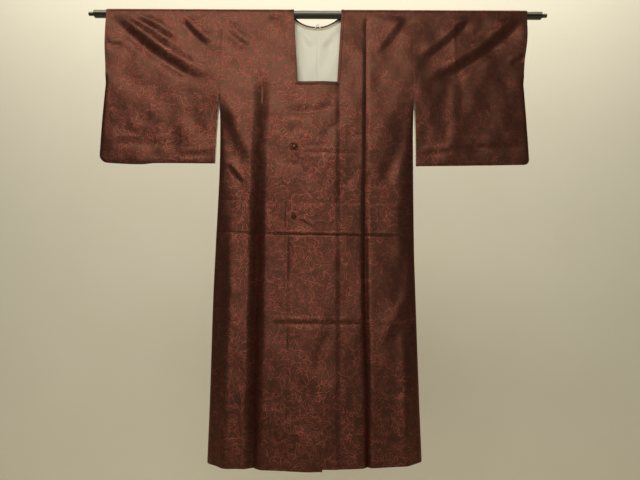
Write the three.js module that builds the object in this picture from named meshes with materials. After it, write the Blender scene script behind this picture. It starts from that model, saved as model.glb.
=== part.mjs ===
// A full-length kimono coat with a small square neck, hung by its shoulders and sleeves on a
// horizontal rod. Millimetres, +Z up. The origin is on the rod's axis, at the middle of the coat.
// +X is the wearer's left, and the front faces -Y.
//
// Every cloth piece is a wall of even thickness on a surface that is worked out from the coat's
// sizes. A surface takes x and a run: the distance along the cloth from the rod's top line, positive
// down the front and negative down the back.

import * as THREE from 'three';
import { mergeVertices } from 'three/addons/utils/BufferGeometryUtils.js';

// ---------------------------------------------------------------- driving dimensions

const CLOTH = 1.6; // outer cloth with its lining
const LINING = 1.2;
const BAND = 2.4; // the neckband is cloth folded double
const SEAM_GAP = 0.3;
const LAP_GAP = 0.5; // between layers that lie on each other

const ROD = { radius: 12.5, length: 1403, edge: 2, tenonRadius: 6.3, tenonLength: 17 };
const ROD_CLEARANCE = 0.7;
const DRAPE_RADIUS = ROD.radius + ROD_CLEARANCE + CLOTH / 2;
const OVER_ROD = (DRAPE_RADIUS * Math.PI) / 2; // run from the rod's top line to its axis height

const COAT_DROP = 1346; // rod's axis to hem
const HEM_DROP = { left: 1343, right: 1349 };
const HEM_SIDE_RISE = 5; // the hem's corners lift at the side seams
const ARMHOLE_DEPTH = 262;
const SIDE_SEAM_TOP = 400; // front and back edges part above it, up to the armhole

const FRONT_SWELL = 43; // how far the hem's middle stands forward of the rod's front
const FRONT_SLOPE = 0.12; // fall of that swell from the middle to the sides
const FRONT_CROWN = 45; // half width of the swell's rounded top
const BACK_SWELL = 22;
const SIDE_ROUND = 52; // width over which front and back turn in to the side seam
const SIDE_SEAM_BACK = 8; // how far behind the rod's axis the side seam hangs at the hem

const NECK = { top: 74, bottom: 60, depth: 230, backDrop: 32, band: 10 };
const NECK_LEAN = (NECK.top - NECK.bottom) / NECK.depth;
const OVERLAP_SEAM = NECK.bottom + NECK.band * (1 - NECK_LEAN); // runs down from the band's corner
const LAP_START = 52; // the upper overlap is fully raised from here on
const FACING = { inset: 3, width: 10 };
const LINING_SIZE = { halfWidth: 128, depth: 330, top: 9 };

const SLEEVE_SHOULDER = 110; // width beside the armhole over which the sleeve follows the body
const SLEEVE_CLOSE = 12; // width over which the sleeve's layers turn in to its sewn edges
const SLEEVE_EDGE_DEPTH = 4.5; // half depth of the bag just above its bottom
const CUFF_END = 198; // the wrist opening ends here
const CUFF_SHUT = 235; // and its edges have come together here

const SIDES = { left: 1, right: -1 };

// Half width of the body: even down to the armhole's bottom, and then along the side seam.
const SIDE_EDGE = [
  { z: -262, left: 293, right: 297 },
  { z: -490, left: 289.5, right: 293 },
  { z: -740, left: 288, right: 298 },
  { z: -890, left: 290, right: 301 },
  { z: -1170, left: 295, right: 302 },
  { z: -1346, left: 299, right: 304 },
];

// The storage crease that runs down each half of the coat: its place and how deep it is pressed.
const CREASE = [
  { z: 0, left: 152, right: 170, leftDepth: 2, rightDepth: 2 },
  { z: -284, left: 148, right: 168.5, leftDepth: 4, rightDepth: 8 },
  { z: -595, left: 142, right: 175, leftDepth: 5, rightDepth: 11 },
  { z: -888, left: 139.5, right: 172.5, leftDepth: 6, rightDepth: 13 },
  { z: -1164, left: 145, right: 173, leftDepth: 7, rightDepth: 13 },
  { z: -1346, left: 142, right: 171, leftDepth: 8, rightDepth: 11 },
];
const CREASE_REACH = { left: 13, right: 27 };
const BACK_CREASE_SHARE = 0.5; // the back layer stands out along the same line

// Free edges of the two overlap panels.
const OVERLAP_EDGE = [
  { z: -240, upper: -80, under: 47 },
  { z: -773, upper: -81, under: 34 },
  { z: -1346, upper: -79, under: 19 },
];

// Inner edge of the sleeves: sewn to the body down to the armhole's bottom, and free below it.
const SLEEVE_INNER = [
  { z: -262, left: 293, right: 297 },
  { z: -305, left: 298, right: 302.5 },
  { z: -487, left: 298.5, right: 308 },
];

// Outer edge of the sleeves.
const SLEEVE_OUTER = [
  { z: 0, left: 652, right: 659 },
  { z: -90, left: 648, right: 659 },
  { z: -150, left: 639, right: 655 },
  { z: -205, left: 634, right: 651 },
  { z: -262, left: 635.5, right: 653 },
  { z: -347, left: 638, right: 656 },
  { z: -487, left: 641, right: 658 },
];

// Bottom of the sleeves, by the share of the way from the inner to the outer edge.
const SLEEVE_BOTTOM = [
  { share: 0, left: 487, right: 481 },
  { share: 0.4, left: 485, right: 480.5 },
  { share: 0.53, left: 484, right: 481 },
  { share: 0.64, left: 483.5, right: 484.5 },
  { share: 0.86, left: 482, right: 482 },
  { share: 1, left: 481, right: 478 },
];
const SLEEVE_CORNER = { left: 16, right: 24 };

// Folds pulled into the cloth. x is measured from the middle towards the side named, a line runs
// from (x0, z0) to (x1, z1) and hangs sag below it, and reach is the half width of its slope.
// A shelf swells above its line and falls away below it, a groove is pressed in, a ridge stands out.
const FOLDS = {
  'sleeve right front': [
    { kind: 'shelf', x0: 640, z0: 0, x1: 325, z1: -224, sag: 18, reach: 17, rise: 6.5 },
    { kind: 'shelf', x0: 592, z0: 0, x1: 430, z1: -100, sag: -5, reach: 12, rise: 3.2 },
    { kind: 'shelf', x0: 425, z0: -8, x1: 325, z1: -112, sag: 8, reach: 11, rise: 2.6 },
    { kind: 'groove', x0: 447, z0: -236, x1: 438, z1: -474, sag: 0, reach: 16, rise: 2.4 },
    { kind: 'shelf', x0: 632, z0: -410, x1: 428, z1: -414, sag: 0, reach: 11, rise: 1.6 },
  ],
  'sleeve left front': [
    { kind: 'shelf', x0: 642, z0: 0, x1: 335, z1: -222, sag: 20, reach: 17, rise: 6.5 },
    { kind: 'shelf', x0: 485, z0: 0, x1: 310, z1: -160, sag: 7, reach: 13, rise: 3.2 },
    { kind: 'ridge', x0: 421, z0: -150, x1: 409, z1: -478, sag: 0, reach: 12, rise: 2 },
    { kind: 'shelf', x0: 634, z0: -424, x1: 415, z1: -418, sag: 0, reach: 12, rise: 1.8 },
  ],
  'sleeve right back': [{ kind: 'shelf', x0: 625, z0: 0, x1: 330, z1: -196, sag: 14, reach: 18, rise: 4 }],
  'sleeve left back': [{ kind: 'shelf', x0: 630, z0: 0, x1: 340, z1: -206, sag: 16, reach: 18, rise: 4.2 }],
  'body right front': [{ kind: 'shelf', x0: 280, z0: -50, x1: 206, z1: -116, sag: 4, reach: 12, rise: 2 }],
  'body left front': [{ kind: 'shelf', x0: 280, z0: 0, x1: 176, z1: -148, sag: 4, reach: 13, rise: 2.2 }],
};
const FOLD_FADE = 0.16; // share of a fold's length over which each end dies away

// Soft upright waves of the back.
const BACK_WAVES = [
  { x: 62, depth: 5, reach: 46 },
  { x: 232, depth: 4, reach: 38 },
];

const BUTTON = { radius: 8.3, shank: 3.2, standoff: 1.6, rim: 5.6, height: 6.8 };
const BUTTONS = [
  { name: 'button_upper', x: -67.5, z: -436 },
  { name: 'button_lower', x: -67, z: -648 },
];
const KNOT = { ring: 9.8, cord: 1.1, petal: 4.2, spread: 0.42, petals: [150, 212, 305] };
const LOOP = { halfWidth: 10, top: -24, bottom: -39, cord: 1.2 };

// ---------------------------------------------------------------- materials

const silk = (color) => new THREE.MeshStandardMaterial({ color, roughness: 0.45, metalness: 0 });
const MATERIAL = {
  silk: silk(0x4a2620),
  band: silk(0x38201a),
  lining: silk(0xd9d1b4),
  facing: silk(0xc8c0a2),
  cord: silk(0x2c1a15),
  lacquer: new THREE.MeshStandardMaterial({ color: 0x1c1613, roughness: 0.25, metalness: 0 }),
};

// ---------------------------------------------------------------- small helpers

const clamp = (value, low, high) => Math.min(high, Math.max(low, value));
const mix = (a, b, share) => a + (b - a) * share;
const sum = (values) => values.reduce((total, value) => total + value, 0);

function ease(from, to, value) {
  const share = clamp((value - from) / (to - from), 0, 1);
  return share * share * (3 - 2 * share);
}

// A smooth curve through one column of a table, whose rows are ordered by the key column.
function lookup(table, key, column, at) {
  const step = Math.sign(table[1][key] - table[0][key]);
  let row = 0;
  while (row < table.length - 2 && (at - table[row + 1][key]) * step > 0) row += 1;
  const slope = (index) => {
    const before = table[Math.max(index - 1, 0)];
    const after = table[Math.min(index + 1, table.length - 1)];
    return (after[column] - before[column]) / (after[key] - before[key]);
  };
  const [a, b] = [table[row], table[row + 1]];
  const span = b[key] - a[key];
  const t = clamp((at - a[key]) / span, 0, 1);
  const bend = t * t * (3 - 2 * t);
  const leave = t * (1 - t) * (1 - t) * span * slope(row);
  const arrive = t * t * (t - 1) * span * slope(row + 1);
  return mix(a[column], b[column], bend) + leave + arrive;
}

const sideOf = (x) => (x > 0 ? 'left' : 'right');

// A quarter round: 0 at a sewn edge, rising steeply at first, and 1 from one reach inwards.
const roundOver = (share) => Math.pow(1 - Math.pow(1 - clamp(share, 0, 1), 1.7), 1 / 1.7);

// ---------------------------------------------------------------- folds

const PROFILES = {
  shelf: (t) => t * Math.exp((1 - t * t) / 2),
  groove: (t) => -Math.exp((-t * t) / 2),
  ridge: (t) => Math.exp((-t * t) / 2),
};

function foldRelief(fold, x, z) {
  const [dx, dz] = [fold.x1 - fold.x0, fold.z1 - fold.z0];
  const length = Math.hypot(dx, dz);
  const along = ((x - fold.x0) * dx + (z - fold.z0) * dz) / (length * length);
  if (along <= 0 || along >= 1) return 0;
  const above = ((x - fold.x0) * dz - (z - fold.z0) * dx) / length;
  const across = above + fold.sag * 4 * along * (1 - along);
  const fade = ease(0, FOLD_FADE, along) * (1 - ease(1 - FOLD_FADE, 1, along));
  return fold.rise * fade * PROFILES[fold.kind](across / fold.reach);
}

// Nothing is pressed in or pulled out where the cloth leaves the rod.
const belowRod = (z) => ease(0.3 * ROD.radius, 3 * ROD.radius, -z);

function relief(on, face, x, z) {
  const here = FOLDS[`${on} ${sideOf(x)} ${face}`];
  return belowRod(z) * sum(here.map((fold) => foldRelief(fold, Math.abs(x), z)));
}

// ---------------------------------------------------------------- the body's surface

const halfWidth = (side, z) => lookup(SIDE_EDGE, 'z', side, z);
const creaseLine = (side, z) => lookup(CREASE, 'z', side, z);

function creaseRelief(x, z) {
  const side = sideOf(x);
  const off = Math.abs(Math.abs(x) - creaseLine(side, z)) / CREASE_REACH[side];
  const pressed = belowRod(z) * lookup(CREASE, 'z', `${side}Depth`, z);
  return pressed * Math.pow(1 - clamp(off, 0, 1), 1.4);
}

const hang = (z) => clamp(-z / COAT_DROP, 0, 1);

function frontDepth(x, z) {
  const fall = FRONT_SLOPE * (Math.hypot(x, FRONT_CROWN) - FRONT_CROWN);
  const swell = (FRONT_SWELL - fall) * Math.pow(hang(z), 1.15);
  return DRAPE_RADIUS + swell - creaseRelief(x, z) + relief('body', 'front', x, z);
}

function backDepth(x, z) {
  const waveAt = (wave) => wave.depth * Math.exp(-(((Math.abs(x) - wave.x) / wave.reach) ** 2));
  const wave = sum(BACK_WAVES.map(waveAt));
  const swell = (BACK_SWELL - wave) * Math.pow(hang(z), 1.1);
  return DRAPE_RADIUS + swell + BACK_CREASE_SHARE * creaseRelief(x, z);
}

const sideSeamY = (z) => SIDE_SEAM_BACK * ease(SIDE_SEAM_TOP, COAT_DROP, -z);

function bodySurface(x, run) {
  if (Math.abs(run) <= OVER_ROD) {
    const turn = run / DRAPE_RADIUS;
    return new THREE.Vector3(x, -DRAPE_RADIUS * Math.sin(turn), DRAPE_RADIUS * Math.cos(turn));
  }
  const z = OVER_ROD - Math.abs(run);
  const facing = run > 0 ? -1 : 1;
  const depth = run > 0 ? frontDepth(x, z) : backDepth(x, z);
  const inwards = halfWidth(sideOf(x), z) - Math.abs(x);
  const sewn = ease(ARMHOLE_DEPTH, SIDE_SEAM_TOP, -z);
  const open = mix(1, roundOver(inwards / SIDE_ROUND), sewn);
  const seam = sideSeamY(z) + (facing * SEAM_GAP) / 2;
  return new THREE.Vector3(x, mix(seam, facing * depth, open), z);
}

// ---------------------------------------------------------------- the sleeve's surface

const sleeveInner = (side, z) => lookup(SLEEVE_INNER, 'z', side, z);
const sleeveOuter = (side, z) => lookup(SLEEVE_OUTER, 'z', side, z);

function sleeveDrop(side, share) {
  const corner = SLEEVE_CORNER[side];
  const width = sleeveOuter(side, -COAT_DROP) - sleeveInner(side, -COAT_DROP);
  const into = clamp(corner - (1 - share) * width, 0, corner);
  const rounding = corner - Math.sqrt(corner * corner - into * into);
  return lookup(SLEEVE_BOTTOM, 'share', side, share) - rounding;
}

function sleeveSurface(x, run) {
  if (Math.abs(run) <= OVER_ROD) return bodySurface(x, run);
  const z = OVER_ROD - Math.abs(run);
  const facing = run > 0 ? -1 : 1;
  const face = run > 0 ? 'front' : 'back';
  const side = sideOf(x);
  const inner = sleeveInner(side, z);
  const outer = sleeveOuter(side, z);
  const share = clamp((Math.abs(x) - inner) / (outer - inner), 0, 1);
  const drop = sleeveDrop(side, share);

  const bag = mix(DRAPE_RADIUS, SLEEVE_EDGE_DEPTH, clamp(-z / drop, 0, 1));
  const depthAt = run > 0 ? frontDepth : backDepth;
  const shoulder = depthAt(SIDES[side] * halfWidth(side, z), z);
  const beside = 1 - ease(0, SLEEVE_SHOULDER, Math.abs(x) - inner);
  const near = beside * (1 - ease(ARMHOLE_DEPTH, SIDE_SEAM_TOP, -z));
  const depth = mix(bag, shoulder, near) + relief('sleeve', face, x, z);

  const bottom = roundOver((drop + z) / SLEEVE_CLOSE);
  const sewn = ease(CUFF_END, CUFF_SHUT, -z);
  const wrist = mix(1, roundOver((outer - Math.abs(x)) / SLEEVE_CLOSE), sewn);
  const seam = (facing * SEAM_GAP) / 2;
  return new THREE.Vector3(x, mix(seam, facing * depth, bottom * wrist), z);
}

// ---------------------------------------------------------------- walls on a surface

const PROBE = 0.2; // how far a surface is felt on each side for its normal

// The outward normal. At a seam it is turned into the seam's plane, so that the wall ends flat.
function outwards(surface, spot) {
  const alongX = surface(spot.x + PROBE, spot.run).sub(surface(spot.x - PROBE, spot.run));
  const alongRun = surface(spot.x, spot.run + PROBE).sub(surface(spot.x, spot.run - PROBE));
  const normal = alongRun.cross(alongX).normalize();
  if (spot.seam) normal[spot.seam] = 0;
  return normal.normalize();
}

// One closed wall over a grid of spots. Each spot has x, run, and maybe the axis of its seam.
function wall(surface, grid, thickness, lift = () => 0) {
  const [rows, columns] = [grid.length, grid[0].length];
  const positions = [];
  for (const side of [1, -1]) {
    for (const spot of grid.flat()) {
      const normal = outwards(surface, spot);
      const offset = lift(spot.x) + (side * thickness) / 2;
      const point = surface(spot.x, spot.run).addScaledVector(normal, offset);
      positions.push(point.x, point.y, point.z);
    }
  }
  const at = (side, row, column) => side * rows * columns + row * columns + column;
  const faces = [];
  const quad = (a, b, c, d) => faces.push(a, b, c, a, c, d);
  for (let r = 0; r < rows - 1; r += 1) {
    for (let c = 0; c < columns - 1; c += 1) {
      quad(at(0, r, c), at(0, r + 1, c), at(0, r + 1, c + 1), at(0, r, c + 1));
      quad(at(1, r, c), at(1, r, c + 1), at(1, r + 1, c + 1), at(1, r + 1, c));
    }
  }
  for (let r = 0; r < rows - 1; r += 1) {
    const last = columns - 1;
    quad(at(0, r, 0), at(1, r, 0), at(1, r + 1, 0), at(0, r + 1, 0));
    quad(at(0, r, last), at(0, r + 1, last), at(1, r + 1, last), at(1, r, last));
  }
  for (let c = 0; c < columns - 1; c += 1) {
    const last = rows - 1;
    quad(at(0, 0, c), at(0, 0, c + 1), at(1, 0, c + 1), at(1, 0, c));
    quad(at(0, last, c), at(1, last, c), at(1, last, c + 1), at(0, last, c + 1));
  }
  return closed(positions, faces);
}

// Builds the geometry and turns it inside out where its volume comes out negative.
function closed(positions, faces) {
  const point = (index) => new THREE.Vector3().fromArray(positions, index * 3);
  let volume = 0;
  for (let f = 0; f < faces.length; f += 3) {
    volume += point(faces[f]).dot(point(faces[f + 1]).cross(point(faces[f + 2])));
  }
  const geometry = new THREE.BufferGeometry();
  geometry.setAttribute('position', new THREE.Float32BufferAttribute(positions, 3));
  geometry.setIndex(volume < 0 ? faces.reverse() : faces);
  geometry.computeVertexNormals();
  return geometry;
}

// three.js round shapes repeat the points of their seams: this joins them into one closed body.
function welded(geometry) {
  geometry.deleteAttribute('normal');
  geometry.deleteAttribute('uv');
  const merged = mergeVertices(geometry, 1e-4);
  return closed(Array.from(merged.attributes.position.array), Array.from(merged.index.array));
}

// ---------------------------------------------------------------- the neckline

const NECK_TURN = -OVER_ROD / 2; // the back neckline has come round to the side at this run
const OVER_RUNS = [-0.25, 0, 0.25, 0.5, 0.75, 1].map((share) => share * OVER_ROD);
const NECK_CURVE = { left: 1.5, right: 1 }; // how quickly it rises from its lowest point

// Points of one half of the neckline, from the centre back to the front corner.
function neckline(side) {
  const bottomRun = -(OVER_ROD + NECK.backDrop);
  const points = [];
  for (const degrees of [0, 13, 26, 38, 50, 61, 70, 77, 84]) {
    const turn = (degrees * Math.PI) / 180;
    const rise = Math.pow(Math.cos(turn), NECK_CURVE[side]);
    points.push({ x: NECK.top * Math.sin(turn), run: mix(NECK_TURN, bottomRun, rise) });
  }
  for (const run of [NECK_TURN, ...OVER_RUNS]) {
    points.push({ x: NECK.top, run });
  }
  for (const share of [0.33, 0.66, 1]) {
    points.push({ x: mix(NECK.top, NECK.bottom, share), run: OVER_ROD + share * NECK.depth });
  }
  return points;
}

// The neckline moved outwards by a distance, level at the centre back and mitred at the corner.
function neckOffset(side, distance) {
  const points = neckline(side);
  return points.map((point, index) => {
    const before = points[Math.max(index - 1, 0)];
    const after = points[Math.min(index + 1, points.length - 1)];
    const [dx, dr] = index === 0 ? [1, 0] : [after.x - before.x, after.run - before.run];
    const length = Math.hypot(dx, dr);
    const mitre = index === points.length - 1 ? distance : 0;
    return {
      x: point.x + (distance * dr + mitre * dx) / length,
      run: point.run + (mitre * dr - distance * dx) / length,
    };
  });
}

// The edge of a piece that is sewn on outside the neckband: its x at a run.
function edgeAlong(points, run, beyond) {
  if (run <= points[0].run) return SEAM_GAP / 2;
  const last = points.length - 1;
  if (run >= points[last].run) return beyond;
  const index = points.findIndex((point) => point.run > run);
  const [a, b] = [points[index - 1], points[index]];
  return mix(a.x, b.x, (run - a.run) / (b.run - a.run));
}

// ---------------------------------------------------------------- pieces

const frontRun = (z) => OVER_ROD - z;
const backRun = (z) => z - OVER_ROD;
const zOf = (run) => (Math.abs(run) <= OVER_ROD ? 0 : OVER_ROD - Math.abs(run));

// The hem is not quite level: rows stretch towards it.
function settle(nominal, drop) {
  return nominal - (drop - COAT_DROP) * ease(SIDE_SEAM_TOP, COAT_DROP, -nominal);
}
const hemRise = (side, x, z) => HEM_SIDE_RISE * Math.pow(Math.abs(x) / halfWidth(side, z), 4);

const BODY_FRONT_ROWS = [
  -45, -90, -135, -180, -222, -242, -262, -300, -345, -400, -470, -550, -630, -710, -790, -880, -970,
  -1060, -1150, -1240, -1300, -1346,
];
const BODY_BACK_ROWS = [
  -1346, -1240, -1120, -1000, -880, -760, -640, -520, -400, -345, -300, -262, -180, -110,
];
const SIDE_COLUMNS = [1, 0.72, 0.45, 0.24, 0.09, 0]; // shares of SIDE_ROUND from the side edge

// Half a front or half a back. They meet along the rod's top line.
function bodyPanel(side, face) {
  const sign = SIDES[side];
  const inner = neckOffset(side, NECK.band + SEAM_GAP);
  const reach = CREASE_REACH[side];
  const neckRows = inner.filter((point) => point.run < NECK_TURN).map((point) => point.run);
  const lowest = neckRows[0];
  const overFront = OVER_RUNS.filter((run) => run > 0);
  const overBack = OVER_RUNS.filter((run) => run < 0);
  const plainBack = BODY_BACK_ROWS.map(backRun).filter((run) => run < lowest - 20);
  const runs = {
    front: [SEAM_GAP / 2, ...overFront, ...BODY_FRONT_ROWS.map(frontRun)],
    back: [...plainBack, ...neckRows, NECK_TURN, ...overBack, -SEAM_GAP / 2],
  };
  const grid = runs[face].map((run) => {
    const nominal = zOf(run);
    const crease = creaseLine(side, nominal);
    const edge = halfWidth(side, nominal) - (nominal > -ARMHOLE_DEPTH - 1 ? SEAM_GAP / 2 : 0);
    const start = edgeAlong(inner, run, OVERLAP_SEAM + SEAM_GAP / 2);
    const shoulder = edge - SIDE_ROUND;
    const across = [
      start,
      mix(start, crease - reach, 0.5),
      crease - reach,
      crease - reach * 0.45,
      crease,
      crease + reach * 0.45,
      crease + reach,
      mix(crease + reach, shoulder, 0.5),
      ...SIDE_COLUMNS.map((share) => edge - share * SIDE_ROUND),
    ];
    return across.map((x, column) => {
      const z = settle(nominal, HEM_DROP[side] - hemRise(side, x, nominal));
      const last = column === across.length - 1;
      const spot = { x: sign * x, run: Math.abs(run) > OVER_ROD ? Math.sign(run) * (OVER_ROD - z) : run };
      const straight = column === 0 && (run <= lowest || run > frontRun(-NECK.depth));
      if (straight) spot.seam = 'x';
      if (last && nominal >= -ARMHOLE_DEPTH) spot.seam = 'x';
      if (last && nominal <= -SIDE_SEAM_TOP) spot.seam = 'y';
      return spot;
    });
  });
  return wall(bodySurface, grid, CLOTH);
}

const LAP = CLOTH + LAP_GAP;
const lapLift = (x) => LAP * (1 - ease(LAP_START, OVERLAP_SEAM, x));
const BAND_DROP = NECK.band * (1 + NECK_LEAN); // height of the front band at its mitred ends
const OVERLAP_TOP = -(NECK.depth + BAND_DROP + SEAM_GAP);

// A front overlap panel, from its seam to its free edge.
function overlapPanel(name, seamX, side, lift) {
  const columns = [0, 0.045, 0.09, 0.14, 0.28, 0.42, 0.56, 0.78, 1];
  const rows = [OVERLAP_TOP, ...BODY_FRONT_ROWS.filter((z) => z < OVERLAP_TOP - 10)];
  const grid = rows.map((nominal) => {
    const edge = lookup(OVERLAP_EDGE, 'z', name, nominal);
    const z = settle(nominal, HEM_DROP[side]);
    return columns.map((share) => {
      const spot = { x: mix(seamX, edge, share), run: frontRun(z) };
      return share === 0 ? { ...spot, seam: 'x' } : spot;
    });
  });
  return wall(bodySurface, grid, CLOTH, lift);
}

// Shares of the sleeve's drop, and then distances above its bottom edge.
const SLEEVE_FRONT_ROWS = [0.07, 0.14, 0.21, 0.28, 0.35, 0.42, 0.5, 0.6, 0.7, 0.8, 0.86, 0.91];
const SLEEVE_BACK_ROWS = [0.12, 0.25, 0.35, 0.43, 0.5, 0.68, 0.85];
const SLEEVE_BOTTOM_ROWS = [12, 5, 1.2, 0];
const SLEEVE_COLUMNS = [0, 0.07, 0.15, 0.24, 0.33, 0.42, 0.51, 0.6, 0.7, 0.8, 0.9];
const SLEEVE_EDGE_COLUMNS = [12, 5, 1.2, 0];

function sleeve(side) {
  const sign = SIDES[side];
  const down = (shares) => [
    ...shares.map((share) => ({ share, above: 0 })),
    ...SLEEVE_BOTTOM_ROWS.map((above) => ({ share: 1, above })),
  ];
  const rows = [
    ...down(SLEEVE_BACK_ROWS).reverse().map((row) => ({ ...row, facing: -1 })),
    ...[-1, -0.75, -0.5, -0.25, 0, 0.25, 0.5, 0.75, 1].map((over) => ({ over })),
    ...down(SLEEVE_FRONT_ROWS).map((row) => ({ ...row, facing: 1 })),
  ];
  const columns = [
    ...SLEEVE_COLUMNS.map((share) => ({ share, within: 0 })),
    ...SLEEVE_EDGE_COLUMNS.map((within) => ({ share: 1, within })),
  ];
  const grid = rows.map((row) =>
    columns.map((column) => {
      const width = sleeveOuter(side, -CUFF_SHUT) - sleeveInner(side, -CUFF_SHUT);
      const drop = sleeveDrop(side, column.share - column.within / width);
      const z = row.over === undefined ? -row.share * drop + row.above : 0;
      const inner = sleeveInner(side, z) + SEAM_GAP / 2;
      const x = mix(inner, sleeveOuter(side, z), column.share) - column.within;
      const run = row.over === undefined ? row.facing * (OVER_ROD - z) : row.over * OVER_ROD;
      const spot = { x: sign * x, run };
      if (column.share === 0 && -z <= ARMHOLE_DEPTH) spot.seam = 'x';
      const atBottom = row.share === 1 && row.above === 0;
      const atWrist = column.share === 1 && column.within === 0 && -z >= CUFF_SHUT;
      if (atBottom || atWrist) spot.seam = 'y';
      return spot;
    }),
  );
  return wall(sleeveSurface, grid, CLOTH);
}

const BAND_LIFT = (BAND - CLOTH) / 2; // keeps the band's inner face level with the cloth's

// One side of the neckband, from the centre back to the front corner.
function neckband(side) {
  const outer = neckOffset(side, NECK.band);
  const grid = neckline(side).map((inner, index) =>
    [0, 0.5, 1].map((share) => ({
      x: SIDES[side] * Math.max(mix(inner.x, outer[index].x, share), SEAM_GAP / 2),
      run: mix(inner.run, outer[index].run, share),
      seam: index === 0 ? 'x' : undefined,
    })),
  );
  return wall(bodySurface, grid, BAND, () => BAND_LIFT);
}

// The band along the bottom of the neck, mitred to meet the side bands.
function neckbandFront() {
  const columns = [-1, -0.78, -0.5, -0.25, 0, 0.25, 0.5, 0.75, 0.88, 1];
  const grid = [0, 0.5, 1].map((down) => {
    const half = mix(NECK.bottom, OVERLAP_SEAM, down) - 2 * SEAM_GAP;
    return columns.map((share) => ({ x: share * half, run: frontRun(-NECK.depth - down * BAND_DROP) }));
  });
  return wall(bodySurface, grid, BAND, (x) => lapLift(x) + BAND_LIFT);
}

const INSIDE = -(CLOTH / 2 + LAP_GAP + LINING / 2); // lift of what lines the cloth
const liningTopRun = backRun(-LINING_SIZE.top);

// The pale facing of the back neckband: both halves of the neckline in one strip.
function collarFacing() {
  const rows = (side) => {
    const near = neckOffset(side, FACING.inset);
    const far = neckOffset(side, FACING.inset + FACING.width);
    const pairs = near.map((a, index) => [a, far[index]]).filter(([a]) => a.run < liningTopRun);
    return pairs.map(([a, b]) =>
      [0, 0.5, 1].map((share) => ({
        x: SIDES[side] * mix(a.x, b.x, share),
        run: mix(a.run, b.run, share),
      })),
    );
  };
  const grid = [...rows('right').reverse(), ...rows('left').slice(1)];
  return wall(bodySurface, grid, LINING, () => INSIDE);
}

function backLining(side) {
  const inner = neckOffset(side, FACING.inset + FACING.width + SEAM_GAP);
  const neckRuns = inner.filter((point) => point.run < liningTopRun).map((point) => point.run);
  const belowNeck = [1, 0.8, 0.6, 0.42, 0.26].map((share) => backRun(-share * LINING_SIZE.depth));
  const runs = [...belowNeck, ...neckRuns];
  const grid = runs.map((run) => {
    const start = edgeAlong(inner, run, 0);
    return [0, 0.25, 0.5, 0.75, 1].map((share) => {
      const spot = { x: SIDES[side] * mix(start, LINING_SIZE.halfWidth, share), run };
      return share === 0 && run <= neckRuns[0] ? { ...spot, seam: 'x' } : spot;
    });
  });
  return wall(bodySurface, grid, LINING, () => INSIDE);
}

// A round section drawn along a path.
function cord(points, radius, sides, steps) {
  const section = new THREE.Shape();
  for (let i = 0; i < sides; i += 1) {
    const turn = (i / sides) * 2 * Math.PI;
    const corner = [radius * Math.cos(turn), radius * Math.sin(turn)];
    if (i === 0) section.moveTo(...corner);
    else section.lineTo(...corner);
  }
  section.closePath();
  const extrudePath = new THREE.CatmullRomCurve3(points);
  return welded(new THREE.ExtrudeGeometry(section, { steps, extrudePath, bevelEnabled: false }));
}

function hangingLoop() {
  const inFront = (x, z) => {
    const point = bodySurface(x, backRun(z));
    const gap = CLOTH / 2 + LAP_GAP + LINING + LAP_GAP + LOOP.cord;
    return point.setY(point.y - gap);
  };
  const { halfWidth: half, top, bottom } = LOOP;
  return cord(
    [
      inFront(-half, bottom),
      inFront(-half * 0.55, mix(bottom, top, 0.45)),
      inFront(-half * 0.15, mix(bottom, top, 0.95)),
      inFront(half * 0.15, mix(bottom, top, 0.95)),
      inFront(half * 0.55, mix(bottom, top, 0.45)),
      inFront(half, bottom),
    ],
    LOOP.cord,
    6,
    16,
  );
}

// Turns a shape that is built along +Z to stand out of the upper overlap at a button's place.
function onOverlap(geometry, { x, z }) {
  const spot = { x, run: frontRun(z) };
  const normal = outwards(bodySurface, spot);
  const out = LAP + CLOTH / 2 + SEAM_GAP;
  const place = bodySurface(spot.x, spot.run).addScaledVector(normal, out);
  geometry.applyQuaternion(new THREE.Quaternion().setFromUnitVectors(new THREE.Vector3(0, 0, 1), normal));
  geometry.translate(place.x, place.y, place.z);
  return welded(geometry);
}

function button(place) {
  const { radius, shank, standoff, rim, height } = BUTTON;
  const profile = [
    [0, 0],
    [shank, 0],
    [shank, standoff],
    [radius * 0.85, standoff + 0.5],
    [radius, mix(standoff, rim, 0.5)],
    [radius * 0.86, rim],
    [radius * 0.66, rim + 0.2],
    [radius * 0.56, rim - 0.5],
    [radius * 0.34, mix(rim, height, 0.6)],
    [0, height],
  ].map(([r, up]) => new THREE.Vector2(r, up));
  return onOverlap(new THREE.LatheGeometry(profile, 20).rotateX(Math.PI / 2), place);
}

// How far the knot's ring is pulled out into petals at an angle.
function petalSwell(angle) {
  return sum(
    KNOT.petals.map((degrees) => {
      const turn = angle - (degrees * Math.PI) / 180;
      const away = Math.atan2(Math.sin(turn), Math.cos(turn));
      return KNOT.petal * Math.exp(-((away / KNOT.spread) ** 2));
    }),
  );
}

// The cord petals that lie round the upper button.
function buttonKnot(place) {
  const geometry = new THREE.TorusGeometry(KNOT.ring, KNOT.cord, 6, 44);
  const position = geometry.attributes.position;
  for (let i = 0; i < position.count; i += 1) {
    const [x, y] = [position.getX(i), position.getY(i)];
    const grow = 1 + petalSwell(Math.atan2(y, x)) / Math.hypot(x, y);
    position.setXY(i, x * grow, y * grow);
  }
  return onOverlap(geometry.translate(0, 0, KNOT.cord), place);
}

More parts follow.
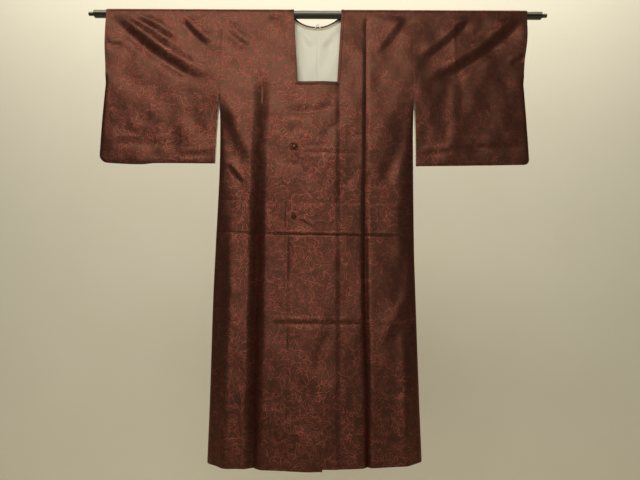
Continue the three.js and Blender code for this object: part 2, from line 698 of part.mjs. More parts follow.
// The rod: a round bar with a tenon at each end.
function hangingRod() {
  const half = ROD.length / 2;
  const end = [
    [ROD.radius, half - ROD.edge],
    [ROD.radius - ROD.edge, half],
    [ROD.tenonRadius, half],
    [ROD.tenonRadius, half + ROD.tenonLength],
    [0, half + ROD.tenonLength],
  ];
  const start = end.map(([r, x]) => [r, -x]).reverse();
  const profile = [...start, ...end].map(([r, x]) => new THREE.Vector2(r, x));
  return welded(new THREE.LatheGeometry(profile, 24).rotateZ(-Math.PI / 2));
}

// ---------------------------------------------------------------- the coat

const coat = new THREE.Group();

function add(name, geometry, material) {
  const mesh = new THREE.Mesh(geometry, material);
  mesh.name = name;
  coat.add(mesh);
}

add('hanging_rod', hangingRod(), MATERIAL.lacquer);
for (const side of Object.keys(SIDES)) {
  add(`body_${side}_front`, bodyPanel(side, 'front'), MATERIAL.silk);
  add(`body_${side}_back`, bodyPanel(side, 'back'), MATERIAL.silk);
  add(`sleeve_${side}`, sleeve(side), MATERIAL.silk);
  add(`neckband_${side}`, neckband(side), MATERIAL.band);
  add(`back_lining_${side}`, backLining(side), MATERIAL.lining);
}
const overlapStart = OVERLAP_SEAM - SEAM_GAP / 2;
add('front_overlap_under', overlapPanel('under', -overlapStart, 'right', () => 0), MATERIAL.silk);
add('front_overlap_upper', overlapPanel('upper', overlapStart, 'left', lapLift), MATERIAL.silk);
add('neckband_front', neckbandFront(), MATERIAL.band);
add('collar_facing', collarFacing(), MATERIAL.facing);
add('hanging_loop', hangingLoop(), MATERIAL.lining);
for (const place of BUTTONS) add(place.name, button(place), MATERIAL.cord);
add('button_knot', buttonKnot(BUTTONS[0]), MATERIAL.cord);

export default coat;
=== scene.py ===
import math
from collections import namedtuple

import bpy
import numpy as np
from mathutils import Matrix, Vector


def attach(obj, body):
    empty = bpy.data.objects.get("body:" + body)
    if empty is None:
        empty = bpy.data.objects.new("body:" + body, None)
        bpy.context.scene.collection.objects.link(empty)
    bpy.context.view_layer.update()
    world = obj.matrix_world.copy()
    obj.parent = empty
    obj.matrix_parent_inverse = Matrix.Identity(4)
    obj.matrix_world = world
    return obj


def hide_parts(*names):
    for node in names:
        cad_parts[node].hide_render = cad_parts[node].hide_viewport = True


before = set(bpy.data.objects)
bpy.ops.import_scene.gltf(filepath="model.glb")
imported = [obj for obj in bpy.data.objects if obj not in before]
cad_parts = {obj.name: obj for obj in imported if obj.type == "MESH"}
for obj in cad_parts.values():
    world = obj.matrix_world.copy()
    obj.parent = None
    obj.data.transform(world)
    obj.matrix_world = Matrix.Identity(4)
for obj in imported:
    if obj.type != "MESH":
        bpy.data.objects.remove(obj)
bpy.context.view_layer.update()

# A full-length kimono coat on a hanging rod. The coat is cut in millimetres here, and MM turns
# them into metres when a mesh is made. +X is the wearer's left, the front faces -Y, +Z is up and
# the origin is on the rod's axis. A surface takes x and a run: the distance along the cloth from
# the rod's top line, positive down the front and negative down the back.
MM = 0.001

# ---------------------------------------------------------------- driving sizes, in millimetres

CLOTH = 1.6
LINING = 1.2
BAND = 2.4
SEAM_GAP = 0.08
LAP_GAP = 0.5

ROD_RADIUS = 12.5
ROD_LENGTH = 1403
ROD_EDGE = 2
TENON_RADIUS = 6.3
TENON_LENGTH = 17
DRAPE_RADIUS = ROD_RADIUS + 0.7 + CLOTH / 2
OVER_ROD = DRAPE_RADIUS * math.pi / 2

COAT_DROP = 1346
HEM_DROP = {"left": 1343, "right": 1349}
HEM_SIDE_RISE = 5
ARMHOLE_DEPTH = 262
SIDE_SEAM_TOP = 400

FRONT_SWELL = 43
FRONT_SWELL_CURVE = 1.15
FRONT_SLOPE = 0.12
FRONT_CROWN = 45
BACK_SWELL = 22
BACK_SWELL_CURVE = 1.1
SIDE_ROUND = 52
SIDE_SEAM_BACK = 8

NECK_TOP = 74
NECK_BOTTOM = 60
NECK_DEPTH = 230
NECK_BACK_DROP = 32
NECK_BAND = 10
NECK_LEAN = (NECK_TOP - NECK_BOTTOM) / NECK_DEPTH
OVERLAP_SEAM = NECK_BOTTOM + NECK_BAND * (1 - NECK_LEAN)
LAP_START = 52
LAP = CLOTH + LAP_GAP
FACING_INSET = 6
FACING_WIDTH = 9
LINING_HALF = 128
LINING_DEPTH = 330
LINING_TOP = 9

SLEEVE_SHOULDER = 110
SLEEVE_CLOSE = 12
SLEEVE_EDGE_DEPTH = 4.5
CUFF_END = 198
CUFF_SHUT = 235

SIGN = {"left": 1, "right": -1}


def columns(names, *rows):
    """A short table: each name with its column of numbers."""
    return dict(zip(names.split(), np.array(rows, dtype=float).T))


SIDE_EDGE = columns(
    "z left right",
    (-262, 293, 297),
    (-490, 289.5, 293),
    (-740, 288, 298),
    (-890, 290, 301),
    (-1170, 295, 302),
    (-1346, 299, 304),
)
CREASE = columns(
    "z left right left_depth right_depth",
    (0, 152, 170, 2, 0.6),
    (-200, 149, 169, 3.2, 1.4),
    (-284, 148, 168.5, 4, 8),
    (-595, 142, 175, 5, 11),
    (-888, 139.5, 172.5, 6, 13),
    (-1164, 145, 173, 7, 13),
    (-1346, 142, 171, 8, 11),
)
CREASE_REACH = {"left": 13, "right": 27}
CREASE_SHARPNESS = 1.4
BACK_CREASE_SHARE = 0.5
OVERLAP_EDGE = columns("z upper under", (-240, -80, 47), (-773, -81, 34), (-1346, -79, 19))
SLEEVE_INNER = columns("z left right", (-262, 293, 297), (-305, 298, 302.5), (-487, 298.5, 308))
SLEEVE_OUTER = columns(
    "z left right",
    (0, 652, 659),
    (-90, 648, 659),
    (-150, 639, 655),
    (-205, 634, 651),
    (-262, 635.5, 653),
    (-347, 638, 656),
    (-487, 641, 658),
)
SLEEVE_BOTTOM = columns(
    "share left right",
    (0, 487, 481),
    (0.4, 485, 480.5),
    (0.53, 484, 481),
    (0.64, 483.5, 484.5),
    (0.86, 482, 482),
    (1, 481, 478),
)
SLEEVE_CORNER = {"left": 16, "right": 24}
BACK_WAVES = columns("x depth reach", (62, 5, 46), (232, 4, 38))

# Folds, a row each in the order of Fold's names: a line from (x0, z0) to (x1, z1) that hangs sag
# below it, with the half width of its slope and its height. A shelf swells above its line and falls
# away below it, a groove is pressed in, a ridge stands out.
Fold = namedtuple("Fold", "kind x0 z0 x1 z1 sag reach rise")
FOLD_FADE = 0.26

# The large folds, whose x is measured from the middle towards the side named.
FOLDS = {
    "sleeve right front": [
        ("shelf", 640, 0, 325, -224, 18, 17, 6.5),
        ("shelf", 592, 0, 430, -100, -5, 12, 3.2),
        ("shelf", 425, -8, 325, -112, 8, 11, 2.6),
        ("groove", 447, -236, 438, -474, 0, 16, 2.4),
        ("shelf", 632, -410, 428, -414, 0, 11, 1.6),
    ],
    "sleeve left front": [
        ("shelf", 642, 0, 335, -222, 20, 17, 6.5),
        ("shelf", 485, 0, 310, -160, 7, 13, 3.2),
        ("ridge", 421, -150, 409, -478, 0, 12, 2),
        ("shelf", 634, -424, 415, -418, 0, 12, 1.8),
    ],
    "sleeve right back": [("shelf", 625, 0, 330, -196, 14, 18, 4)],
    "sleeve left back": [("shelf", 630, 0, 340, -206, 16, 18, 4.2)],
    "body right front": [("shelf", 280, -50, 206, -116, 4, 12, 2)],
    "body left front": [("shelf", 280, 0, 176, -148, 4, 13, 2.2)],
    "body right back": [],
    "body left back": [],
}

# Storage creases and small drags. Their x is the coat's own, negative on the wearer's right.
FINE_FOLDS = {
    "body front": [
        # pressed across the coat where it lay folded
        ("groove", -100, -609, 290, -607, 0, 2.6, 0.7),
        ("groove", -296, -596, -205, -600, 0, 2.4, 0.6),
        ("groove", -110, -660, 300, -655, 0, 2.6, 0.55),
        ("groove", 150, -633, 300, -628, 0, 2.4, 0.6),
        ("groove", -360, -690, 365, -700, 6, 2.4, 3.8),
        ("ridge", -130, -694, 320, -693, 4, 3.2, 1.4),
        ("shelf", -135, -952, 160, -952, -2, 6.5, 3.6),
        # the upper overlap's free edge presses the cloth below it
        ("groove", -86, -560, -84, -900, 0, 3, 3.0),
        ("groove", -84, -780, -83, -1700, 0, 3, 1.6),
        ("shelf", 150, -956, 296, -950, 0, 8, 1.0),
        ("groove", -300, -948, -210, -952, 0, 6, 1.0),
        # drags and dimples of the upper overlap
        ("groove", -104, -322, 58, -304, 13, 9, 2.8),
        ("groove", -94, -394, -34, -370, 0, 9, 1.9),
        ("groove", 18, -392, 68, -360, 0, 8, 1.4),
        ("groove", 2, -398, 58, -404, 0, 5, 1.1),
        ("groove", 88, -405, 140, -397, 0, 5, 1.1),
        ("shelf", -56, -447, 132, -448, 2, 5, 1.3),
        ("groove", -92, -492, -40, -490, 0, 8, 1.0),
        ("groove", -84, -577, -20, -580, 0, 4, 0.9),
        ("shelf", -60, -655, 24, -704, -8, 5, 1.6),
        ("groove", 84, -560, 128, -494, 0, 9, 1.4),
        # long upright presses
        ("ridge", -171, -400, -176, -1100, 0, 1.6, 0.9),
        ("groove", -173, -420, -173, -1700, 0, 10, 6.0),
        ("groove", 142, -560, 142, -1700, 0, 6, 3.2),
        ("groove", -133, 12, -131, -110, 0, 2, 0.7),
        ("groove", 116, -160, 118, -420, 0, 2, 0.8),
        ("groove", 131, -120, 127, -520, 0, 2, 0.7),
        ("groove", 60, -1010, 66, -1340, 0, 9, 1.0),
        ("groove", 28, -976, 2, -1100, 0, 9, 3.0),
        # the wearer's right side, from the armpit down
        ("shelf", -300, -300, -206, -500, -8, 22, 4.2),
        ("ridge", -290, -462, -226, -540, 0, 5, 1.6),
        ("shelf", -270, -478, -214, -550, 0, 7, 2.6),
        ("groove", -262, -560, -240, -700, 0, 12, 1.6),
        ("shelf", -263, -1700, -263, -560, 0, 19, 5.6),
        # the wearer's left side
        ("groove", 268, -300, 190, -560, 14, 17, 3.8),
        ("groove", 266, -580, 276, -740, 0, 13, 2.4),
        ("groove", 268, -740, 226, -920, 0, 14, 4.0),
        ("shelf", 304, -850, 190, -1030, -6, 16, 3.6),
        ("shelf", 266, -940, 266, -1700, 0, 18, 4.6),
        ("groove", 232, -1060, 216, -1400, 0, 13, 1.8),
    ],
    "body back": [
        ("groove", -285, -607, 285, -603, 0, 2.8, 0.8),
        ("groove", -290, -699, 290, -703, 4, 3.2, 1.3),
        ("ridge", -285, -690, 285, -692, 4, 3.2, 0.7),
        ("shelf", -280, -951, 285, -953, -2, 7, 1.3),
        ("shelf", 268, -30, 150, -190, 8, 14, 2.6),
        ("shelf", -272, -24, -160, -176, 6, 13, 2.4),
        ("shelf", 60, -60, 6, -230, 5, 16, 1.8),
        ("shelf", -66, -52, -10, -250, 5, 15, 1.7),
        ("groove", 284, -300, 214, -560, 10, 16, 2.6),
        ("groove", -286, -310, -220, -530, 8, 16, 2.8),
        ("groove", 262, -780, 246, -1250, 0, 18, 1.8),
        ("groove", -258, -720, -270, -1180, 0, 17, 1.8),
        ("groove", 96, -960, 110, -1330, 0, 14, 1.3),
        ("groove", -100, -1010, -92, -1320, 0, 13, 1.4),
    ],
    "sleeve front": [
        ("shelf", -651, -104, -604, -100, 2, 8, 1.6),
        ("groove", -631, -62, -560, -150, 10, 10, 1.2),
        ("groove", -602, -300, -560, -404, 0, 12, 1.0),
        ("groove", -388, -300, -344, -420, 0, 15, 2.0),
        ("shelf", -430, -452, -306, -440, 3, 8, 1.8),
        ("shelf", -585, -372, -470, -392, 4, 14, 1.3),
        ("groove", -560, -236, -470, -244, 0, 12, 0.9),
        ("shelf", 637, -142, 590, -160, 0, 7, 1.6),
        ("ridge", 426, 4, 419, -236, 0, 2.6, 0.9),
        ("shelf", 305, -446, 420, -436, 0, 8, 2.2),
        ("groove", 655, -428, 420, -434, 0, 6, 2.6),
        ("groove", 322, -300, 330, -414, 0, 9, 1.2),
        ("groove", 540, -236, 500, -392, 0, 22, 1.2),
        ("shelf", 470, -300, 620, -322, -4, 14, 1.0),
        ("groove", 604, -176, 560, -240, 0, 14, 1.2),
    ],
    "sleeve back": [
        ("shelf", -470, -4, -330, -130, 6, 13, 2.4),
        ("groove", -440, -240, -446, -470, 0, 12, 1.8),
        ("shelf", -630, -414, -320, -410, 0, 9, 1.4),
        ("groove", -584, -210, -540, -390, 0, 16, 1.5),
        ("shelf", 505, -4, 340, -120, 6, 12, 2.2),
        ("groove", 416, -250, 411, -476, 0, 12, 1.8),
        ("shelf", 625, -420, 318, -416, 0, 9, 1.5),
        ("groove", 566, -230, 548, -400, 0, 16, 1.4),
    ],
    "lining": [
        ("ridge", 70, -18, 2, -104, 6, 8, 3.8),
        ("ridge", -70, -16, -2, -104, 6, 8, 3.8),
        ("groove", 58, -44, 20, -120, 0, 11, 3.2),
        ("groove", -60, -44, -22, -120, 0, 11, 3.2),
        ("groove", -0.2, -60, 0.2, -330, 0, 1.6, 0.9),
        ("groove", 44, -130, 50, -320, 0, 16, 0.8),
        ("groove", -48, -130, -46, -320, 0, 18, 0.8),
    ],
}

# Broad unevenness of a hung cloth: waves per metre across and down, and their height.
UNEVEN = columns(
    "across down phase height",
    (5.3, 1.9, 0.4, 0.75),
    (8.7, -3.1, 2.1, 0.6),
    (3.1, 5.7, 4.0, 0.65),
    (13.1, 4.3, 1.2, 0.4),
    (7.9, 11.3, 5.1, 0.38),
    (17.3, -8.9, 3.3, 0.24),
)

# ---------------------------------------------------------------- small functions


def mix(a, b, share):
    return a + (b - a) * share


def ease(start, end, value):
    share = np.clip((value - start) / (end - start), 0, 1)
    return share * share * (3 - 2 * share)


def lookup(table, column, at, key="z"):
    """A smooth curve through one column of a table."""
    keys, values = table[key], table[column]
    if keys[1] < keys[0]:
        keys, values, at = -keys, values, -np.asarray(at, dtype=float)
    row = np.clip(np.searchsorted(keys, at) - 1, 0, len(keys) - 2)
    before = np.maximum(np.arange(len(keys)) - 1, 0)
    after = np.minimum(np.arange(len(keys)) + 1, len(keys) - 1)
    slopes = (values[after] - values[before]) / (keys[after] - keys[before])
    span = keys[row + 1] - keys[row]
    t = np.clip((at - keys[row]) / span, 0, 1)
    bend = t * t * (3 - 2 * t)
    leave = t * (1 - t) ** 2 * span * slopes[row]
    arrive = t * t * (t - 1) * span * slopes[row + 1]
    return mix(values[row], values[row + 1], bend) + leave + arrive


def by_side(x, value):
    """value(side) for the side that each x lies on."""
    return np.where(x > 0, value("left"), value("right"))


ROUNDNESS = 1.7


def round_over(share):
    """A quarter round: 0 at a sewn edge, rising steeply at first, and 1 from one reach inwards."""
    return (1 - (1 - np.clip(share, 0, 1)) ** ROUNDNESS) ** (1 / ROUNDNESS)


PROFILES = {
    "shelf": lambda t: t * np.exp((1 - t * t) / 2),
    "groove": lambda t: -np.exp(-t * t / 2),
    "ridge": lambda t: np.exp(-t * t / 2),
}


def fold_relief(row, x, z):
    fold = Fold(*row)
    dx, dz = fold.x1 - fold.x0, fold.z1 - fold.z0
    length = math.hypot(dx, dz)
    along = ((x - fold.x0) * dx + (z - fold.z0) * dz) / length**2
    side = -1 if dx > 0 else 1
    above = side * ((x - fold.x0) * dz - (z - fold.z0) * dx) / length
    across = above + fold.sag * 4 * along * (1 - along)
    fade = ease(0, FOLD_FADE, along) * (1 - ease(1 - FOLD_FADE, 1, along))
    return np.where((along > 0) & (along < 1), fold.rise * fade * PROFILES[fold.kind](across / fold.reach), 0)


def below_rod(z):
    return ease(0.3 * ROD_RADIUS, 3 * ROD_RADIUS, -z)


def relief(on, face, x, z):
    large = by_side(x, lambda side: sum(fold_relief(f, np.abs(x), z) for f in FOLDS[f"{on} {side} {face}"]))
    fine = sum(fold_relief(f, x, z) for f in FINE_FOLDS[f"{on} {face}"])
    return below_rod(z) * (large + fine + unevenness(x, z))


def unevenness(x, z):
    total = 0
    for across, down, phase, height in zip(*UNEVEN.values()):
        total = total + height * np.sin(2 * math.pi * MM * (across * x + down * z) + phase)
    return total


# ---------------------------------------------------------------- the cloth's surfaces


def half_width(x, z):
    return by_side(x, lambda side: lookup(SIDE_EDGE, side, z))


def crease_relief(x, z):
    def pressed(side):
        off = np.abs(np.abs(x) - lookup(CREASE, side, z)) / CREASE_REACH[side]
        return lookup(CREASE, side + "_depth", z) * (1 - np.clip(off, 0, 1)) ** CREASE_SHARPNESS

    return below_rod(z) * by_side(x, pressed)


def hang(z):
    return np.clip(-z / COAT_DROP, 0, 1)


def front_depth(x, z):
    fall = FRONT_SLOPE * (np.hypot(x, FRONT_CROWN) - FRONT_CROWN)
    swell = (FRONT_SWELL - fall) * hang(z) ** FRONT_SWELL_CURVE
    return DRAPE_RADIUS + swell - crease_relief(x, z) + relief("body", "front", x, z)


def back_depth(x, z):
    wave = sum(d * np.exp(-(((np.abs(x) - at) / reach) ** 2)) for at, d, reach in zip(*BACK_WAVES.values()))
    swell = (BACK_SWELL - wave) * hang(z) ** BACK_SWELL_CURVE
    return DRAPE_RADIUS + swell + BACK_CREASE_SHARE * crease_relief(x, z) + relief("body", "back", x, z)


def over_rod(x, run, y):
    """The point at x and run, whose y is the one given where the cloth has left the rod."""
    turn = run / DRAPE_RADIUS
    over = np.abs(run) <= OVER_ROD
    z = np.where(over, DRAPE_RADIUS * np.cos(turn), OVER_ROD - np.abs(run))
    return np.stack([x, np.where(over, -DRAPE_RADIUS * np.sin(turn), y), z], axis=-1)


def body_surface(x, run):
    z = OVER_ROD - np.abs(run)
    facing = np.where(run > 0, -1, 1)
    depth = np.where(run > 0, front_depth(x, z), back_depth(x, z))
    inwards = half_width(x, z) - np.abs(x)
    open_share = mix(1, round_over(inwards / SIDE_ROUND), ease(ARMHOLE_DEPTH, SIDE_SEAM_TOP, -z))
    seam = SIDE_SEAM_BACK * ease(SIDE_SEAM_TOP, COAT_DROP, -z) + facing * SEAM_GAP / 2
    return over_rod(x, run, mix(seam, facing * depth, open_share))


def sleeve_inner(side, z):
    return lookup(SLEEVE_INNER, side, z)


def sleeve_outer(side, z):
    return lookup(SLEEVE_OUTER, side, z)


def sleeve_drop(side, share):
    corner = SLEEVE_CORNER[side]
    width = sleeve_outer(side, -COAT_DROP) - sleeve_inner(side, -COAT_DROP)
    into = np.clip(corner - (1 - share) * width, 0, corner)
    return lookup(SLEEVE_BOTTOM, side, share, key="share") - corner + np.sqrt(corner**2 - into**2)


def sleeve_surface(side):
    """The surface of one sleeve."""

    def surface(x, run):
        z = OVER_ROD - np.abs(run)
        facing = np.where(run > 0, -1, 1)
        inner, outer = sleeve_inner(side, z), sleeve_outer(side, z)
        share = np.clip((np.abs(x) - inner) / (outer - inner), 0, 1)
        drop = sleeve_drop(side, share)
        bag = mix(DRAPE_RADIUS, SLEEVE_EDGE_DEPTH, np.clip(-z / drop, 0, 1))
        seam_x = SIGN[side] * lookup(SIDE_EDGE, side, z)
        shoulder = np.where(run > 0, front_depth(seam_x, z), back_depth(seam_x, z))
        beside = 1 - ease(0, SLEEVE_SHOULDER, np.abs(x) - inner)
        near = beside * (1 - ease(ARMHOLE_DEPTH, SIDE_SEAM_TOP, -z))
        folds = np.where(run > 0, relief("sleeve", "front", x, z), relief("sleeve", "back", x, z))
        depth = mix(bag, shoulder, near) + folds
        bottom = round_over((drop + z) / SLEEVE_CLOSE)
        sewn = ease(CUFF_END, CUFF_SHUT, -z)
        wrist = mix(1, round_over((outer - np.abs(x)) / SLEEVE_CLOSE), sewn)
        return over_rod(x, run, mix(facing * SEAM_GAP / 2, facing * depth, bottom * wrist))

    return surface


# ---------------------------------------------------------------- walls on a surface

PROBE = 0.2


def outwards(surface, x, run, flat_x=False, flat_y=False):
    """The outward normal. At a seam it is turned into the seam's plane, so that the wall ends flat."""
    along_x = surface(x + PROBE, run) - surface(x - PROBE, run)
    along_run = surface(x, run + PROBE) - surface(x, run - PROBE)
    normal = np.cross(along_run, along_x)
    normal[..., 0] = np.where(flat_x, 0, normal[..., 0])
    normal[..., 1] = np.where(flat_y, 0, normal[..., 1])
    return normal / np.linalg.norm(normal, axis=-1, keepdims=True)


def add_object(name, data):
    """A new object in the scene."""
    thing = bpy.data.objects.new(name, data)
    bpy.context.scene.collection.objects.link(thing)
    return thing


CLOTH_SHARP = 48


def make_mesh(name, points, quads, uvs, slots, materials):
    """A mesh object at the origin, from points in millimetres."""
    mesh = bpy.data.meshes.new(name)
    mesh.vertices.add(len(points))
    mesh.vertices.foreach_set("co", (points * MM).astype(np.float32).ravel())
    mesh.loops.add(quads.size)
    mesh.loops.foreach_set("vertex_index", quads.astype(np.int32).ravel())
    mesh.polygons.add(len(quads))
    mesh.polygons.foreach_set("loop_start", np.arange(0, quads.size, 4, dtype=np.int32))
    mesh.polygons.foreach_set("material_index", slots.astype(np.int32))
    mesh.update(calc_edges=True)
    layer = mesh.uv_layers.new(name="cloth")
    layer.data.foreach_set("uv", (uvs * MM)[quads.ravel()].astype(np.float32).ravel())
    for material in materials:
        mesh.materials.append(material)
    mesh.polygons.foreach_set("use_smooth", np.ones(len(quads), dtype=bool))
    mesh.set_sharp_from_angle(angle=math.radians(CLOTH_SHARP))
    mesh.validate()
    return add_object(name, mesh)


def wall(name, surface, x, run, thickness, materials, lift=0, thin=1, flat_x=False, flat_y=False):
    """One closed wall over a grid of x and run. materials are the outer and the inner face's."""
    normal = outwards(surface, x, run, flat_x, flat_y)
    middle = surface(x, run)
    half = (np.zeros_like(x) + thickness * thin / 2)[..., None]
    raised = (np.zeros_like(x) + lift)[..., None]
    outer = middle + normal * (raised + half)
    inner = middle + normal * (raised - half)
    points = np.concatenate([outer.reshape(-1, 3), inner.reshape(-1, 3)])
    count = x.size
    index = np.arange(count).reshape(x.shape)
    a, b, c, d = index[:-1, :-1], index[1:, :-1], index[1:, 1:], index[:-1, 1:]
    face = np.stack([a, b, c, d], axis=-1).reshape(-1, 4)
    ring = np.concatenate([index[0, :-1], index[:-1, -1], index[-1, :0:-1], index[:0:-1, 0]])
    after = np.roll(ring, -1)
    rim = np.stack([ring, after, after + count, ring + count], axis=-1)
    quads = np.concatenate([face, face[:, ::-1] + count, rim])
    if (x[0, -1] - x[0, 0]) * (run[-1, 0] - run[0, 0]) < 0:
        quads = quads[:, ::-1]
    slots = np.concatenate([np.zeros(len(face)), np.ones(len(face)), np.zeros(len(rim))])
    uvs = np.stack([x, run], axis=-1).reshape(-1, 2)
    return make_mesh(name, points, quads, np.concatenate([uvs, uvs]), slots, materials)


def spread(start, end, count, crowd=1.0):
    """Shares of a stretch as an array, crowded towards its start where crowd is over 1."""
    return mix(start, end, np.linspace(0, 1, count) ** crowd)


# ---------------------------------------------------------------- the neckline

NECK_TURN = -OVER_ROD / 2
NECK_CURVE = {"left": 1.5, "right": 1}


def neckline(side):
    """One half of the neckline, from the centre back to the front corner, as x and run."""
    turn = np.radians(np.linspace(0, 84, 25))
    rise = np.cos(turn) ** NECK_CURVE[side]
    back_x = NECK_TOP * np.sin(turn)
    back_run = mix(NECK_TURN, -(OVER_ROD + NECK_BACK_DROP), rise)
    top_run = np.linspace(NECK_TURN, OVER_ROD, 9)
    share = np.linspace(0, 1, 40)[1:]
    front_x = mix(NECK_TOP, NECK_BOTTOM, share)
    front_run = OVER_ROD + share * NECK_DEPTH
    x = np.concatenate([back_x, np.full(len(top_run), NECK_TOP), front_x])
    return x, np.concatenate([back_run, top_run, front_run])


def neck_offset(side, distance):
    """The neckline moved outwards, level at the centre back and mitred at the corner."""
    x, run = neckline(side)
    last = len(x) - 1
    before = np.maximum(np.arange(len(x)) - 1, 0)
    after = np.minimum(np.arange(len(x)) + 1, last)
    dx, dr = x[after] - x[before], run[after] - run[before]
    dx[0], dr[0] = 1, 0
    length = np.hypot(dx, dr)
    mitre = np.where(np.arange(len(x)) == last, distance, 0)
    return x + (distance * dr + mitre * dx) / length, run + (mitre * dr - distance * dx) / length


def edge_along(edge, run, beyond):
    """The x of a piece's edge next to the neckband, at the centre seam down the back from it.

    Down the front from it the edge is at beyond.
    """
    xs, runs = edge
    inside = np.interp(run, runs, xs)
    return np.where(run <= runs[0], SEAM_GAP / 2, np.where(run >= runs[-1], beyond, inside))


# ---------------------------------------------------------------- materials


class Graph:
    """The nodes of one material."""

    def __init__(self, name, **settings):
        self.material = bpy.data.materials.new(name)
        self.material.use_nodes = True
        self.nodes = self.material.node_tree.nodes
        self.links = self.material.node_tree.links
        self.shader = self.nodes["Principled BSDF"]
        for socket, value in settings.items():
            self.shader.inputs[socket.replace("_", " ")].default_value = value

    def set(self, socket, value):
        if isinstance(value, bpy.types.NodeSocket):
            self.links.new(value, socket)
        else:
            socket.default_value = value

    def feed(self, socket, value):
        self.set(self.shader.inputs[socket], value)

    def node(self, kind, inputs=None, **settings):
        made = self.nodes.new("ShaderNode" + kind)
        for key, value in settings.items():
            setattr(made, key, value)
        for key, value in (inputs or {}).items():
            self.set(made.inputs[key], value)
        return made

    def math(self, operation, a, b=0.0, clamp=False):
        made = self.node("Math", {0: a, 1: b}, operation=operation, use_clamp=clamp)
        return made.outputs[0]

    def span(self, value, low, high, out_low=0.0, out_high=1.0):
        inputs = {"Value": value, "From Min": low, "From Max": high, "To Min": out_low, "To Max": out_high}
        return self.node("MapRange", inputs, interpolation_type="SMOOTHSTEP").outputs["Result"]

    def colour(self, share, low, high):
        made = self.node("Mix", {0: share, 6: (*low, 1), 7: (*high, 1)}, data_type="RGBA")
        return made.outputs[2]

    def cloth(self, across=1.0, down=1.0):
        """Places on the cloth: metres across and along it, times the numbers given."""
        uv = self.node("UVMap", uv_map="cloth").outputs["UV"]
        return self.node("VectorMath", {0: uv, 1: (across, down, 0)}, operation="MULTIPLY").outputs[0]

    def noise(self, vector, detail=2.0, roughness=0.5):
        inputs = {"Vector": vector, "Scale": 1.0, "Detail": detail, "Roughness": roughness}
        return self.node("TexNoise", inputs, noise_dimensions="2D").outputs["Fac"]

    def bump(self, height, distance, strength=1.0):
        made = self.node("Bump", {"Height": height, "Distance": distance, "Strength": strength})
        self.feed("Normal", made.outputs["Normal"])


def srgb(red, green, blue):
    """A colour given as 0 to 255, as the linear numbers that the shader takes."""
    parts = [value / 255 for value in (red, green, blue)]
    return tuple(p / 12.92 if p < 0.04045 else ((p + 0.055) / 1.055) ** 2.4 for p in parts)


LEAF_HALF_LENGTH = 0.62
LEAF_HALF_BREADTH = 0.27
LINE_CORE = 0.35
FAR_OFF = 9.0


def bent_cloth(graph, size, offset, scale, bend):
    """Places on the cloth in units of size, moved by offset and bent by noise of the scale given."""
    spot = graph.cloth(1 / size, 1 / size)
    moved = graph.node("VectorMath", {0: spot, 1: (*offset, 0)}, operation="ADD").outputs[0]
    wobble = graph.node("TexNoise", {"Vector": moved, "Scale": scale, "Detail": 1.0}, noise_dimensions="2D")
    inputs = {0: wobble.outputs["Color"], 1: (bend, bend, 0), 2: moved}
    return graph.node("VectorMath", inputs, operation="MULTIPLY_ADD").outputs[0]


def leaf_layer(graph, size, offset, line):
    """Outlined pointed leaves, one in each cell of an uneven grid, turned every way."""
    bent = bent_cloth(graph, size, offset, 1.3, 0.34)
    inputs = {"Vector": bent, "Scale": 1.0, "Randomness": 0.75}
    cells = graph.node("TexVoronoi", inputs, voronoi_dimensions="2D")
    local = graph.node("VectorMath", {0: bent, 1: cells.outputs["Position"]}, operation="SUBTRACT")
    chance = graph.node("SeparateColor", {"Color": cells.outputs["Color"]})
    turn = graph.math("MULTIPLY", chance.outputs["Red"], 2 * math.pi)
    turned = graph.node("VectorRotate", {"Vector": local.outputs[0], "Angle": turn}, rotation_type="Z_AXIS")
    axes = graph.node("SeparateXYZ", {"Vector": turned.outputs[0]})
    x = graph.math("ABSOLUTE", axes.outputs["X"])
    radius = (LEAF_HALF_LENGTH**2 + LEAF_HALF_BREADTH**2) / (2 * LEAF_HALF_BREADTH)
    shifted = graph.math("ADD", x, radius - LEAF_HALF_BREADTH)
    reach = graph.node("CombineXYZ", {"X": shifted, "Y": axes.outputs["Y"]}).outputs[0]
    distance = graph.node("VectorMath", {0: reach}, operation="LENGTH").outputs["Value"]
    outline = graph.math("ABSOLUTE", graph.math("SUBTRACT", distance, radius))
    within = graph.math("LESS_THAN", distance, radius)
    vein = graph.math("ADD", x, graph.math("MULTIPLY", graph.math("SUBTRACT", 1.0, within), FAR_OFF))
    nearest = graph.math("MINIMUM", outline, graph.math("ADD", vein, LINE_CORE * line))
    return graph.span(nearest, line, LINE_CORE * line)


def stem_layer(graph, size, offset, line):
    """A net of curving stems."""
    bent = bent_cloth(graph, size, offset, 1.1, 0.9)
    inputs = {"Vector": bent, "Scale": 1.0, "Randomness": 1.0}
    cells = graph.node("TexVoronoi", inputs, voronoi_dimensions="2D", feature="DISTANCE_TO_EDGE")
    return graph.span(cells.outputs["Distance"], line, 0.3 * line)


